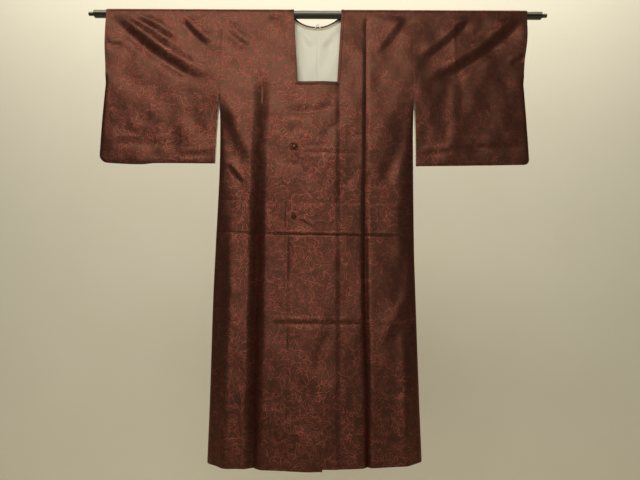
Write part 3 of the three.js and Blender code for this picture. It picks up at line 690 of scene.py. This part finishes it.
def coat_silk(name, shade=1.0, drawn_share=1.0):
    """Dark satin with a jacquard of red leaf outlines, over a ground in which a little red weft shows."""
    graph = Graph(
        name,
        IOR=1.5,
        Specular_IOR_Level=0.7,
        Specular_Tint=(*srgb(255, 196, 158), 1),
        Anisotropic=0.5,
        Sheen_Weight=0.03,
        Sheen_Roughness=0.4,
        Sheen_Tint=(*srgb(200, 140, 105), 1),
    )
    leaves = leaf_layer(graph, 0.024, (0.0, 0.0), 0.050)
    others = leaf_layer(graph, 0.030, (3.7, 1.9), 0.040)
    stems = stem_layer(graph, 0.042, (7.1, 5.3), 0.024)
    drawn = graph.math("MAXIMUM", graph.math("MAXIMUM", leaves, others), stems)
    toned = graph.span(graph.noise(graph.cloth(60, 60)), 0.3, 0.62, 0.4 * drawn_share, 0.82 * drawn_share)
    faded = graph.span(graph.noise(graph.cloth(13, 13)), 0.3, 0.7, 0.78, 1.1)
    points = graph.span(graph.noise(graph.cloth(360, 360), detail=1.0), 0.45, 0.7, 0.04, 0.42)
    lit_lines = graph.math("MULTIPLY", graph.math("MULTIPLY", drawn, toned), faded)
    pattern = graph.math("MAXIMUM", lit_lines, graph.math("MULTIPLY", points, faded))

    # shade below 1 darkens every colour: the painted shade of the neckband's copies.
    def shaded(*colour):
        return [shade * value for value in srgb(*colour)]

    ground = graph.colour(graph.noise(graph.cloth(9, 9), detail=3.0), shaded(34, 24, 18), shaded(46, 32, 24))
    lines = graph.colour(graph.noise(graph.cloth(24, 24)), shaded(142, 72, 61), shaded(164, 98, 82))
    base = graph.node("Mix", {0: pattern, 6: ground, 7: lines}, data_type="RGBA").outputs[2]
    graph.feed("Base Color", base)
    graph.feed("Metallic", graph.math("MULTIPLY", pattern, 3.0, clamp=True))
    weft = graph.node("Tangent", direction_type="UV_MAP", uv_map="cloth").outputs["Tangent"]
    graph.feed("Tangent", weft)
    turn = graph.math("MULTIPLY", graph.math("GREATER_THAN", pattern, 0.3), 0.25)
    graph.feed("Anisotropic Rotation", turn)
    streaks = graph.noise(graph.cloth(420, 26), detail=2.0)
    rough = graph.math("ADD", graph.span(pattern, 0, 1, 0.36, 0.44), graph.math("MULTIPLY", streaks, 0.06))
    graph.feed("Roughness", rough)
    weave = graph.noise(graph.cloth(1900, 700), detail=1.0)
    height = graph.math("ADD", graph.math("MULTIPLY", pattern, 0.8), graph.math("MULTIPLY", weave, 0.35))
    graph.bump(height, 0.00022)
    return graph.material


def lining_silk(name, light, dark):
    """Smooth plain silk."""
    graph = Graph(name, Sheen_Weight=0.2, Sheen_Roughness=0.4, Specular_IOR_Level=0.45)
    cloudy = graph.noise(graph.cloth(11, 7), detail=3.0)
    graph.feed("Base Color", graph.colour(cloudy, dark, light))
    graph.feed("Roughness", graph.span(cloudy, 0, 1, 0.42, 0.56))
    graph.bump(graph.noise(graph.cloth(1500, 1100), detail=1.0), 0.00012)
    return graph.material


def place_noise(graph, scale, stretch=(1, 1, 1), detail=2.0):
    """Noise that is fixed to the object's own place."""
    place = graph.node("TexCoord").outputs["Object"]
    stretched = graph.node("VectorMath", {0: place, 1: stretch}, operation="MULTIPLY").outputs[0]
    return graph.node("TexNoise", {"Vector": stretched, "Scale": scale, "Detail": detail}).outputs["Fac"]


def knot_cord(name, dark, light):
    """Bias cord of the coat's silk."""
    graph = Graph(name, Specular_IOR_Level=0.5, Specular_Tint=(*srgb(255, 200, 160), 1))
    grain = place_noise(graph, 900)
    graph.feed("Base Color", graph.colour(grain, dark, light))
    graph.feed("Roughness", graph.span(grain, 0, 1, 0.38, 0.6))
    graph.bump(grain, 0.0003)
    return graph.material


def rod_lacquer(name):
    """Black lacquer, lightly brushed along the rod, with a pale highlight painted on its upper front flank.
    """
    graph = Graph(name, Coat_Weight=0.5, Coat_Roughness=0.2, Specular_IOR_Level=0.4)
    grain = place_noise(graph, 60, stretch=(0.06, 1, 1), detail=4.0)
    black = graph.colour(grain, srgb(18, 12, 8), srgb(34, 24, 16))
    facing = graph.node("SeparateXYZ", {"Vector": graph.node("TexCoord").outputs["Normal"]}).outputs
    # Painted highlight: a pale band on the flank that faces up and forward, with the very top left black.
    above = graph.span(facing["Z"], -0.3, 0.0, 0.0, 0.6)
    top = graph.span(facing["Z"], 0.55, 0.85, 1.0, 0.0)
    ahead = graph.span(facing["Y"], 0.0, -0.4)
    painted_highlight = graph.math("MULTIPLY", graph.math("MULTIPLY", above, top), ahead)
    # The base colour: black lacquer with the painted highlight mixed over it.
    toned = graph.node("Mix", {0: painted_highlight, 6: black, 7: (*srgb(196, 188, 168), 1)}, data_type="RGBA").outputs[2]
    graph.feed("Base Color", toned)
    graph.feed("Roughness", graph.span(grain, 0.2, 0.8, 0.2, 0.32))
    graph.bump(grain, 0.00006)
    return graph.material


SILK = coat_silk("coat_silk")
# The neckband is the coat's own silk. These copies are darkened, with their pattern faded, as painted shade:
# slightly on the side bands, deeply on the band across the front and on the band's inside.
BAND_SILK = coat_silk("band_silk", shade=0.9, drawn_share=0.8)
BAND_SHADED = coat_silk("band_silk_front_painted_shade", shade=0.42, drawn_share=0.4)
BAND_INSIDE_SHADED = coat_silk("band_silk_inside_painted_shade", shade=0.35, drawn_share=0.1)
IVORY = lining_silk("lining_silk", srgb(254, 252, 236), srgb(247, 244, 224))
# The collar facing strip is tinted greyer than the lining as painted shade below the collar.
SHADED_BEIGE = lining_silk("facing_silk", srgb(208, 200, 172), srgb(190, 181, 152))
CORD = knot_cord("knot_cord", srgb(44, 26, 20), srgb(96, 54, 44))
# A paler copy of the cord, a painted highlight for the middle knot of the upper button.
HIGHLIGHT_CORD = knot_cord("knot_cord_painted_highlight", srgb(150, 98, 80), srgb(196, 142, 120))
LACQUER = rod_lacquer("rod_lacquer")

# ---------------------------------------------------------------- the pieces


def declare(thing, nodes):
    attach(thing, "root")
    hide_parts(*([nodes] if isinstance(nodes, str) else nodes))


def settle(nominal, drop):
    """The hem is not quite level: rows stretch towards it."""
    return nominal - (drop - COAT_DROP) * ease(SIDE_SEAM_TOP, COAT_DROP, -nominal)


SEAM_THIN_SHARE = 0.14
SEAM_THIN_REACH = 1.6


def seam_thin(distance):
    """How far a wall thins towards a sewn edge."""
    return 1 - SEAM_THIN_SHARE * np.exp(-((distance / SEAM_THIN_REACH) ** 2))


ROW_STEP = 4.2
ROWS_TOP = -14
OVER_ROD_ROWS = 21
FAR_FROM_SEAM = 99
PRESSED_ROWS = (-596, -607, -629, -657, -692, -699, -704, -951)


def drop_rows(top, bottom):
    """Heights from top down to bottom, closer together at the presses across the coat."""
    even = np.linspace(top, bottom, int((top - bottom) / ROW_STEP))
    close = [z + step for z in PRESSED_ROWS for step in (-2.4, -1.2, 0, 1.2, 2.4) if bottom < z < top - 5]
    rows = np.unique(np.concatenate([even, close]))[::-1]
    keep = np.concatenate([[True], np.abs(np.diff(rows)) > 0.5])
    keep[-1] = True
    return rows[keep]


def body_panel(side):
    sign = SIGN[side]
    inner = neck_offset(side, NECK_BAND + SEAM_GAP)
    rows = drop_rows(ROWS_TOP, -COAT_DROP)
    neck_runs = inner[1][(inner[1] < -OVER_ROD) | (inner[1] > OVER_ROD)]
    over = np.linspace(-OVER_ROD, OVER_ROD, OVER_ROD_ROWS)
    runs = np.unique(np.concatenate([-(OVER_ROD - rows), neck_runs, over, OVER_ROD - rows]))
    runs = runs[np.concatenate([[True], np.diff(runs) > 0.15])]
    nominal = np.where(np.abs(runs) <= OVER_ROD, 0, OVER_ROD - np.abs(runs))
    sewn_above = nominal > -ARMHOLE_DEPTH - 1
    edge = lookup(SIDE_EDGE, side, nominal) - np.where(sewn_above, SEAM_GAP / 2, 0)
    start = edge_along(inner, runs, OVERLAP_SEAM + SEAM_GAP / 2)
    crease = lookup(CREASE, side, nominal)
    reach = CREASE_REACH[side]
    shoulder = edge - SIDE_ROUND

    def stretch(a, b, shares):
        return a[:, None] + (b - a)[:, None] * shares[None, :]

    across = np.concatenate(
        [
            stretch(start, crease - reach, spread(0, 1, 15, crowd=1.5)[:-1]),
            stretch(crease - reach, crease + reach, np.linspace(0, 1, 17)[:-1]),
            stretch(crease + reach, shoulder, np.linspace(0, 1, 12)[:-1]),
            stretch(shoulder, edge, 1 - spread(0, 1, 17, crowd=1.8)[::-1]),
        ],
        axis=1,
    )
    rise = HEM_SIDE_RISE * (across / edge[:, None]) ** 4
    z = settle(nominal[:, None], HEM_DROP[side] - rise)
    over_top = np.abs(runs)[:, None] <= OVER_ROD
    run = np.where(over_top, runs[:, None], np.sign(runs)[:, None] * (OVER_ROD - z))
    first = np.arange(across.shape[1]) == 0
    last = np.arange(across.shape[1]) == across.shape[1] - 1
    centre_back = runs[:, None] <= inner[1][0]
    below_neck = runs[:, None] > OVER_ROD + NECK_DEPTH
    armhole = nominal[:, None] >= -ARMHOLE_DEPTH
    side_seam = nominal[:, None] <= -SIDE_SEAM_TOP
    flat_x = (first & (centre_back | below_neck)) | (last & armhole)
    from_start = across - start[:, None]
    from_edge = np.where(armhole | side_seam, edge[:, None] - across, FAR_FROM_SEAM)
    thing = wall(
        f"coat_body_{side}",
        body_surface,
        sign * across,
        run,
        CLOTH,
        (SILK, IVORY),
        thin=seam_thin(from_start) * seam_thin(from_edge),
        flat_x=flat_x,
        flat_y=last & side_seam,
    )
    nodes = (f"body_{side}_front", f"body_{side}_back")
    declare(thing, nodes)


def lap_lift(x):
    return LAP * (1 - ease(LAP_START, OVERLAP_SEAM, x))


BAND_DROP = NECK_BAND * (1 + NECK_LEAN)
OVERLAP_TOP = -(NECK_DEPTH + BAND_DROP + SEAM_GAP)


def overlap_panel(name, seam_x, side, lift):
    rows = drop_rows(OVERLAP_TOP, -COAT_DROP)[:, None]
    free = lookup(OVERLAP_EDGE, name, rows)
    shares = np.concatenate([spread(0, 0.2, 12, crowd=1.4)[:-1], np.linspace(0.2, 1, 26)])
    x = seam_x + (free - seam_x) * shares
    z = settle(rows, HEM_DROP[side]) + np.zeros_like(x)
    thing = wall(
        f"coat_overlap_{name}",
        body_surface,
        x,
        OVER_ROD - z,
        CLOTH,
        (SILK, IVORY),
        lift=lift(x),
        thin=seam_thin(np.abs(x - seam_x)),
        flat_x=np.arange(len(shares)) == 0,
    )
    declare(thing, f"front_overlap_{name}")


SLEEVE_LENGTH = 480
SLEEVE_FIRST_ROW = 0.012
SLEEVE_ROWS = 104
SLEEVE_COLUMNS = 66
BY_ARMHOLE = 0.12


def sleeve(side):
    sign = SIGN[side]
    far = 1 - spread(0, SLEEVE_CLOSE, 9, crowd=1.8)[::-1][:, None] / sleeve_drop(side, 0.5)
    even = np.linspace(SLEEVE_FIRST_ROW, 1 - SLEEVE_CLOSE / SLEEVE_LENGTH, SLEEVE_ROWS)[:-1]
    down = np.concatenate([even[:, None], far])
    width = sleeve_outer(side, -CUFF_SHUT) - sleeve_inner(side, -CUFF_SHUT)
    near_wrist = 1 - spread(0, SLEEVE_CLOSE, 9, crowd=1.8)[::-1] / width
    near_armhole = spread(0, BY_ARMHOLE, 13, crowd=1.5)[:-1]
    between = np.linspace(BY_ARMHOLE, 1 - SLEEVE_CLOSE / width, SLEEVE_COLUMNS)[:-1]
    shares = np.concatenate([near_armhole, between, near_wrist])
    drop = sleeve_drop(side, shares)[None, :]
    z = -down * drop
    flat_run = np.linspace(-OVER_ROD, OVER_ROD, OVER_ROD_ROWS)[:, None] + np.zeros_like(drop)
    run = np.concatenate([-(OVER_ROD - z)[::-1], flat_run, OVER_ROD - z])
    height = np.concatenate([z[::-1], np.zeros_like(flat_run), z])
    inner = sleeve_inner(side, height) + SEAM_GAP / 2
    x = inner + (sleeve_outer(side, height) - inner) * shares
    first = np.arange(len(shares)) == 0
    last = np.arange(len(shares)) == len(shares) - 1
    at_bottom = np.zeros_like(x, dtype=bool)
    at_bottom[0], at_bottom[-1] = True, True
    thin = np.where(-height <= ARMHOLE_DEPTH, seam_thin(x - inner), 1)
    thing = wall(
        f"coat_sleeve_{side}",
        sleeve_surface(side),
        sign * x,
        run,
        CLOTH,
        (SILK, IVORY),
        thin=thin,
        flat_x=first & (-height <= ARMHOLE_DEPTH),
        flat_y=at_bottom | (last & (-height >= CUFF_SHUT)),
    )
    declare(thing, f"sleeve_{side}")


BAND_LIFT = (BAND - CLOTH) / 2


def band_round(share):
    """The doubled band is full in the middle and thinner at its fold and its seam."""
    return 0.55 + 0.45 * np.sqrt(np.clip(np.sin(math.pi * mix(0.04, 0.96, share)), 0, 1))


def neckband(side):
    inner_x, inner_run = neckline(side)
    outer_x, outer_run = neck_offset(side, NECK_BAND)
    share = np.linspace(0, 1, 9)
    x = np.maximum(inner_x[:, None] + (outer_x - inner_x)[:, None] * share, SEAM_GAP / 2)
    run = inner_run[:, None] + (outer_run - inner_run)[:, None] * share
    at_centre = (np.arange(len(inner_x)) == 0)[:, None]
    thing = wall(
        f"neckband_side_{side}",
        body_surface,
        SIGN[side] * x,
        run,
        BAND,
        (BAND_SILK, BAND_INSIDE_SHADED),
        lift=BAND_LIFT,
        thin=band_round(share),
        flat_x=at_centre & np.ones_like(x, dtype=bool),
    )
    declare(thing, f"neckband_{side}")


def neckband_front():
    down = np.linspace(0, 1, 9)[:, None]
    half = mix(NECK_BOTTOM, OVERLAP_SEAM, down) - 2 * SEAM_GAP
    x = np.linspace(-1, 1, 45)[None, :] * half
    run = OVER_ROD + NECK_DEPTH + down * BAND_DROP + np.zeros_like(x)
    thing = wall(
        "neckband_across",
        body_surface,
        x,
        run,
        BAND,
        (BAND_SHADED, BAND_INSIDE_SHADED),
        lift=lap_lift(x) + BAND_LIFT,
        thin=band_round(down),
    )
    declare(thing, "neckband_front")


INSIDE = -(CLOTH / 2 + LAP_GAP + LINING / 2)
LINING_TOP_RUN = -(OVER_ROD + LINING_TOP)


def collar_facing():
    halves = []
    for side in ("right", "left"):
        near_x, near_run = neck_offset(side, FACING_INSET)
        far_x, far_run = neck_offset(side, FACING_INSET + FACING_WIDTH)
        keep = near_run < LINING_TOP_RUN
        share = np.linspace(0, 1, 7)
        x = SIGN[side] * (near_x[keep, None] + (far_x - near_x)[keep, None] * share)
        run = near_run[keep, None] + (far_run - near_run)[keep, None] * share
        halves.append((x, run))
    (right_x, right_run), (left_x, left_run) = halves
    x = np.concatenate([right_x[::-1], left_x[1:]])
    run = np.concatenate([right_run[::-1], left_run[1:]])
    thing = wall("collar_facing_strip", body_surface, x, run, LINING, (SHADED_BEIGE, SHADED_BEIGE), lift=INSIDE)
    declare(thing, "collar_facing")


LINING_AWAY = 3.4


def lining_lift(x, run):
    """The lining stands off the back in soft drags below the collar."""
    z = OVER_ROD - np.abs(run)
    drags = sum(fold_relief(fold, x, z) for fold in FINE_FOLDS["lining"])
    away = LINING_AWAY * ease(20, 60, -z) * (1 - ease(60, LINING_HALF, np.abs(x)))
    return INSIDE - away - drags * ease(14, 30, -z)


def back_lining(side):
    inner = neck_offset(side, FACING_INSET + FACING_WIDTH + SEAM_GAP)
    neck_runs = inner[1][inner[1] < LINING_TOP_RUN]
    below = np.linspace(-(OVER_ROD + LINING_DEPTH), neck_runs[0] - 4, 72)
    runs = np.concatenate([below, neck_runs])
    start = edge_along(inner, runs, 0)
    share = spread(0, 1, 34, crowd=1.3)
    x = start[:, None] + (LINING_HALF - start)[:, None] * share
    run = runs[:, None] + np.zeros_like(x)
    thing = wall(
        f"back_lining_{side}_half",
        body_surface,
        SIGN[side] * x,
        run,
        LINING,
        (IVORY, IVORY),
        lift=lining_lift(SIGN[side] * x, run),
        thin=seam_thin(x - start[:, None]),
        flat_x=(np.arange(len(share)) == 0) & (run <= neck_runs[0]),
    )
    declare(thing, f"back_lining_{side}")


# ---------------------------------------------------------------- cords, knots and the rod


def tube(name, paths, radius, sides, material, twist=0.0):
    """One mesh of closed or open tubes along paths, each an array of points with a closed flag."""
    points, quads, total = [], [], 0
    for path, closed in paths:
        path = np.asarray(path, dtype=float)
        ahead = np.roll(path, -1, axis=0) - np.roll(path, 1, axis=0)
        if not closed:
            ahead[0], ahead[-1] = path[1] - path[0], path[-1] - path[-2]
        ahead /= np.linalg.norm(ahead, axis=1, keepdims=True)
        side = np.cross(ahead[0], (0.3, 0.5, 0.81))
        rings = []
        for step, (spot, along) in enumerate(zip(path, ahead)):
            side = side - along * np.dot(side, along)
            side /= np.linalg.norm(side)
            up = np.cross(along, side)
            turn = np.linspace(0, 2 * math.pi, sides, endpoint=False) + twist * step
            lobed = radius * (1 + 0.1 * np.cos(2 * (turn - twist * step * 2)))
            rings.append(spot + np.outer(lobed * np.cos(turn), side) + np.outer(lobed * np.sin(turn), up))
        count = len(path)
        for step in range(count if closed else count - 1):
            quads.append(ring_quads(total + step * sides, total + ((step + 1) % count) * sides, sides))
        stacked = np.concatenate(rings)
        if not closed:
            ring = np.arange(sides)
            following = np.roll(ring, -1)
            caps = ((path[0], 0, following, ring), (path[-1], (count - 1) * sides, ring, following))
            for spot, start, first, second in caps:
                centre = np.full(sides, total + len(stacked))
                stacked = np.concatenate([stacked, spot[None, :]])
                near = total + start
                quads.append(np.stack([near + first, near + second, centre, centre], axis=-1))
        points.append(stacked)
        total += len(stacked)
    return points_mesh(name, np.concatenate(points), np.concatenate(quads).tolist(), material)


def ring_quads(start, following_start, sides):
    """The faces between two rings of points, whose first points' numbers are given."""
    ring = np.arange(sides)
    following = np.roll(ring, -1)
    corners = [start + ring, start + following, following_start + following, following_start + ring]
    return np.stack(corners, axis=-1)


def points_mesh(name, points, faces, material, sharp=None):
    """A smooth mesh object from points in millimetres and faces whose repeated corners are dropped.

    Edges that turn by more than sharp degrees stay sharp.
    """
    mesh = bpy.data.meshes.new(name)
    corners = [list(dict.fromkeys(face)) for face in faces]
    mesh.from_pydata((points * MM).tolist(), [], corners)
    mesh.polygons.foreach_set("use_smooth", np.ones(len(corners), dtype=bool))
    if sharp:
        mesh.set_sharp_from_angle(angle=math.radians(sharp))
    mesh.materials.append(material)
    mesh.validate()
    mesh.update()
    return add_object(name, mesh)


def smooth_path(points, count):
    """Points of a smooth curve through the points given."""
    points = np.asarray(points, dtype=float)
    held = np.concatenate([2 * points[:1] - points[1:2], points, 2 * points[-1:] - points[-2:-1]])
    spans = len(held) - 3
    at = np.linspace(0, spans, count)
    row = np.minimum(at.astype(int), spans - 1)
    t = (at - row)[:, None]
    p0, p1, p2, p3 = (held[row + step] for step in range(4))
    bend = 2 * p0 - 5 * p1 + 4 * p2 - p3
    return 0.5 * (2 * p1 + (p2 - p0) * t + bend * t**2 + (3 * p1 - p0 - 3 * p2 + p3) * t**3)


LOOP = {"half": 10, "top": -28, "bottom": -42, "cord": 1.5}


def hanging_loop():
    def in_front(x, z):
        spot = body_surface(np.array([x]), np.array([-(OVER_ROD - z)]))[0]
        gap = CLOTH / 2 + LAP_GAP + LINING + 3 * LAP_GAP + LOOP["cord"]
        return spot - (0, gap, 0)

    half, top, bottom = LOOP["half"], LOOP["top"], LOOP["bottom"]
    shape = ((-1, 0), (-0.55, 0.45), (-0.15, 0.95), (0.15, 0.95), (0.55, 0.45), (1, 0))
    points = [in_front(share * half, mix(bottom, top, up)) for share, up in shape]
    path = smooth_path(points, 60)
    thing = tube("hanging_loop_cord", [(path, False)], LOOP["cord"], 12, IVORY, twist=0.35)
    declare(thing, "hanging_loop")


def on_overlap(points, place):
    """Points built along +Z, stood out of the upper overlap at a button's place."""
    x, run = np.array([place[0]]), np.array([OVER_ROD - place[1]])
    normal = outwards(body_surface, x, run)[0]
    spot = body_surface(x, run)[0] + normal * (LAP + CLOTH / 2 + SEAM_GAP)
    turn = Vector((0, 0, 1)).rotation_difference(Vector(normal)).to_matrix()
    return np.asarray(points) @ np.array(turn).T + spot


BUTTON_UPPER = (-67.5, -436)
BUTTON_LOWER = (-67, -648)
BUTTON_CORD = 1.9
BUTTON_RING = 6.2
BUTTON_RING_UP = 3.1
BUTTON_WAVE = 0.25
BUTTON_WAVES = 9


def knot_ball(turns, lobes, radius, height, base):
    """A cord woven round a ball, flattened: it goes round turns times and swings lobes times."""
    t = np.linspace(0, 2 * math.pi, 260, endpoint=False)
    around = turns * t
    swing = 0.95 * np.sin(lobes * t)
    weave = 1 + 0.1 * np.cos(2 * lobes * t + 0.6)
    flat = np.cos(swing) * weave
    up = np.sin(swing) * weave
    x, y = radius * flat * np.cos(around), radius * flat * np.sin(around)
    return np.stack([x, y, base + height * (1 + up)], axis=-1)


def button_upper():
    """A coiled ring with a small knot in its middle, and a shank."""
    turn = np.linspace(0, 2 * math.pi, 72, endpoint=False)
    wavy = BUTTON_RING + BUTTON_WAVE * np.cos(BUTTON_WAVES * turn)
    up = BUTTON_RING_UP + BUTTON_WAVE * np.sin(BUTTON_WAVES * turn)
    ring = np.stack([wavy * np.cos(turn), wavy * np.sin(turn), up], axis=-1)
    middle = knot_ball(2, 3, 2.3, 1.7, 2.2)
    shank = np.stack([np.zeros(6), np.zeros(6), np.linspace(0.2, 3.2, 6)], axis=-1)
    paths = [(on_overlap(ring, BUTTON_UPPER), True)]
    thing = tube("button_upper_ring", paths, BUTTON_CORD, 14, CORD, twist=0.2)
    # The middle knot takes the paler cord as a painted highlight.
    knob = tube("button_upper_knob", [(on_overlap(middle, BUTTON_UPPER), True)], 1.0, 10, HIGHLIGHT_CORD)
    post = tube("button_upper_shank", [(on_overlap(shank, BUTTON_UPPER), False)], 2.6, 14, CORD)
    declare(thing, "button_upper")
    for extra in (knob, post):
        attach(extra, "root")


def button_lower():
    """A ball knot of cord."""
    ball = knot_ball(3, 4, 5.9, 2.5, 1.2)
    core = knot_ball(2, 3, 3.2, 1.7, 1.6)
    paths = [(on_overlap(ball, BUTTON_LOWER), True), (on_overlap(core, BUTTON_LOWER), True)]
    thing = tube("button_lower_knot", paths, 1.45, 12, CORD, twist=0.1)
    declare(thing, "button_lower")


KNOT_RING = 9.8
KNOT_CORD = 1.1
KNOT_PETAL = 4.2
KNOT_SPREAD = 0.42
KNOT_PETALS = (150, 212, 305)


def button_knot():
    """The cord that lies round the upper button, pulled out into petals."""
    turn = np.linspace(0, 2 * math.pi, 200, endpoint=False)
    swell = 0
    for degrees in KNOT_PETALS:
        away = np.angle(np.exp(1j * (turn - math.radians(degrees))))
        swell = swell + KNOT_PETAL * np.exp(-((away / KNOT_SPREAD) ** 2))
    radius = KNOT_RING + swell
    ring = np.stack([radius * np.cos(turn), radius * np.sin(turn), np.full(len(turn), KNOT_CORD)], axis=-1)
    path = on_overlap(ring, BUTTON_UPPER)
    thing = tube("button_petals", [(path, True)], KNOT_CORD, 12, CORD, twist=0.3)
    declare(thing, "button_knot")


ROD_SIDES = 72
ROD_STEPS = 24
ROD_STEP_INSET = 4
TENON_EDGE = 0.5
TIP_RADIUS = 0.01


def hanging_rod():
    """The rod, turned smooth, with its shoulders eased and a tenon at each end."""
    half = ROD_LENGTH / 2
    tip = half + TENON_LENGTH
    end = [
        (ROD_RADIUS - ROD_EDGE + ROD_EDGE * math.cos(t), half - ROD_EDGE + ROD_EDGE * math.sin(t))
        for t in np.linspace(0, math.pi / 2, 6)
    ]
    end += [(TENON_RADIUS, half), (TENON_RADIUS, tip - TENON_EDGE), (TENON_RADIUS - TENON_EDGE, tip)]
    end.append((TIP_RADIUS, tip))
    along = np.linspace(-half + ROD_STEP_INSET, half - ROD_STEP_INSET, ROD_STEPS)
    profile = [(r, -x) for r, x in end][::-1] + [(ROD_RADIUS, x) for x in along] + end
    turn = np.linspace(0, 2 * math.pi, ROD_SIDES, endpoint=False)
    rings = [
        np.stack([np.full(ROD_SIDES, x), r * np.cos(turn), r * np.sin(turn)], axis=-1) for r, x in profile
    ]
    last = (len(profile) - 1) * ROD_SIDES
    quads = [ring_quads(start, start + ROD_SIDES, ROD_SIDES) for start in range(0, last, ROD_SIDES)]
    caps = [list(range(ROD_SIDES))[::-1], list(range(last, last + ROD_SIDES))]
    faces = np.concatenate(quads).tolist() + caps
    thing = points_mesh("lacquered_rod", np.concatenate(rings), faces, LACQUER, sharp=40)
    declare(thing, "hanging_rod")


hanging_rod()
for wearer_side in SIGN:
    body_panel(wearer_side)
    sleeve(wearer_side)
    neckband(wearer_side)
    back_lining(wearer_side)
overlap_panel("under", -(OVERLAP_SEAM - SEAM_GAP / 2), "right", np.zeros_like)
overlap_panel("upper", OVERLAP_SEAM - SEAM_GAP / 2, "left", lap_lift)
neckband_front()
collar_facing()
hanging_loop()
button_upper()
button_lower()
button_knot()

# ---------------------------------------------------------------- the studio

FLOOR_Z = -2.4
WALL_Y = 1.9
COVE = 0.35
WALL_TOP = 3.2
FLOOR_FRONT = -6
BACKDROP_HALF = 5


def backdrop():
    """A pale floor that curves up into a pale wall."""
    curve = [(FLOOR_FRONT, FLOOR_Z)]
    for turn in np.linspace(0, math.pi / 2, 13):
        y = WALL_Y - COVE + COVE * math.sin(turn)
        curve.append((y, FLOOR_Z + COVE - COVE * math.cos(turn)))
    curve.append((WALL_Y, WALL_TOP))
    points = [(x, y, z) for y, z in curve for x in (-BACKDROP_HALF, BACKDROP_HALF)]
    faces = [(2 * i, 2 * i + 1, 2 * i + 3, 2 * i + 2) for i in range(len(curve) - 1)]
    mesh = bpy.data.meshes.new("backdrop")
    mesh.from_pydata(points, [], faces)
    mesh.polygons.foreach_set("use_smooth", np.ones(len(faces), dtype=bool))
    graph = Graph("backdrop_paint", Roughness=0.9, Specular_IOR_Level=0.2)
    cloudy = place_noise(graph, 2.2, detail=3.0)
    graph.feed("Base Color", graph.colour(cloudy, srgb(238, 232, 211), srgb(243, 238, 220)))
    mesh.materials.append(graph.material)
    add_object("backdrop", mesh)


def area_light(name, place, aim, size, power, colour):
    light = bpy.data.lights.new(name, "AREA")
    light.shape = "RECTANGLE"
    light.size, light.size_y = size
    light.energy = power
    light.color = colour
    thing = add_object(name, light)
    thing.location = place
    thing.rotation_euler = (Vector(aim) - Vector(place)).to_track_quat("-Z", "Y").to_euler()


CAMERA = {"sensor": 36, "lens": 27.56, "place": (0.011, -1.440, -0.893), "tilt": 7.12, "roll": -0.26}


def camera():
    """The camera, low in front of the coat and tilted up by so many degrees."""
    data = bpy.data.cameras.new("camera")
    data.sensor_width = CAMERA["sensor"]
    data.lens = CAMERA["lens"]
    thing = add_object("camera", data)
    thing.location = CAMERA["place"]
    tilt = Matrix.Rotation(math.radians(90 + CAMERA["tilt"]), 4, "X")
    roll = Matrix.Rotation(math.radians(CAMERA["roll"]), 4, "Y")
    thing.rotation_euler = (roll @ tilt).to_euler()
    bpy.context.scene.camera = thing


backdrop()
area_light("ceiling_front", (-0.52, -2.3, 1.15), (0, 0, -0.5), (2.4, 0.9), 34.5, (1.0, 0.965, 0.87))
area_light("room_front", (-0.2, -3.0, -0.62), (0, 0, -0.58), (2.2, 0.9), 14.5, (1.0, 0.91, 0.84))
area_light("wall_wash", (0.0, 0.7, 2.24), (0, 1.9, -0.9), (5.7, 0.7), 72, (1.0, 0.96, 0.88))
world = bpy.data.worlds.new("world")
world.use_nodes = True
glow = world.node_tree.nodes["Background"].inputs
glow["Color"].default_value = (0.93, 0.9, 0.82, 1)
glow["Strength"].default_value = 0.13
bpy.context.scene.world = world
bpy.context.scene.view_settings.view_transform = "Standard"
camera()
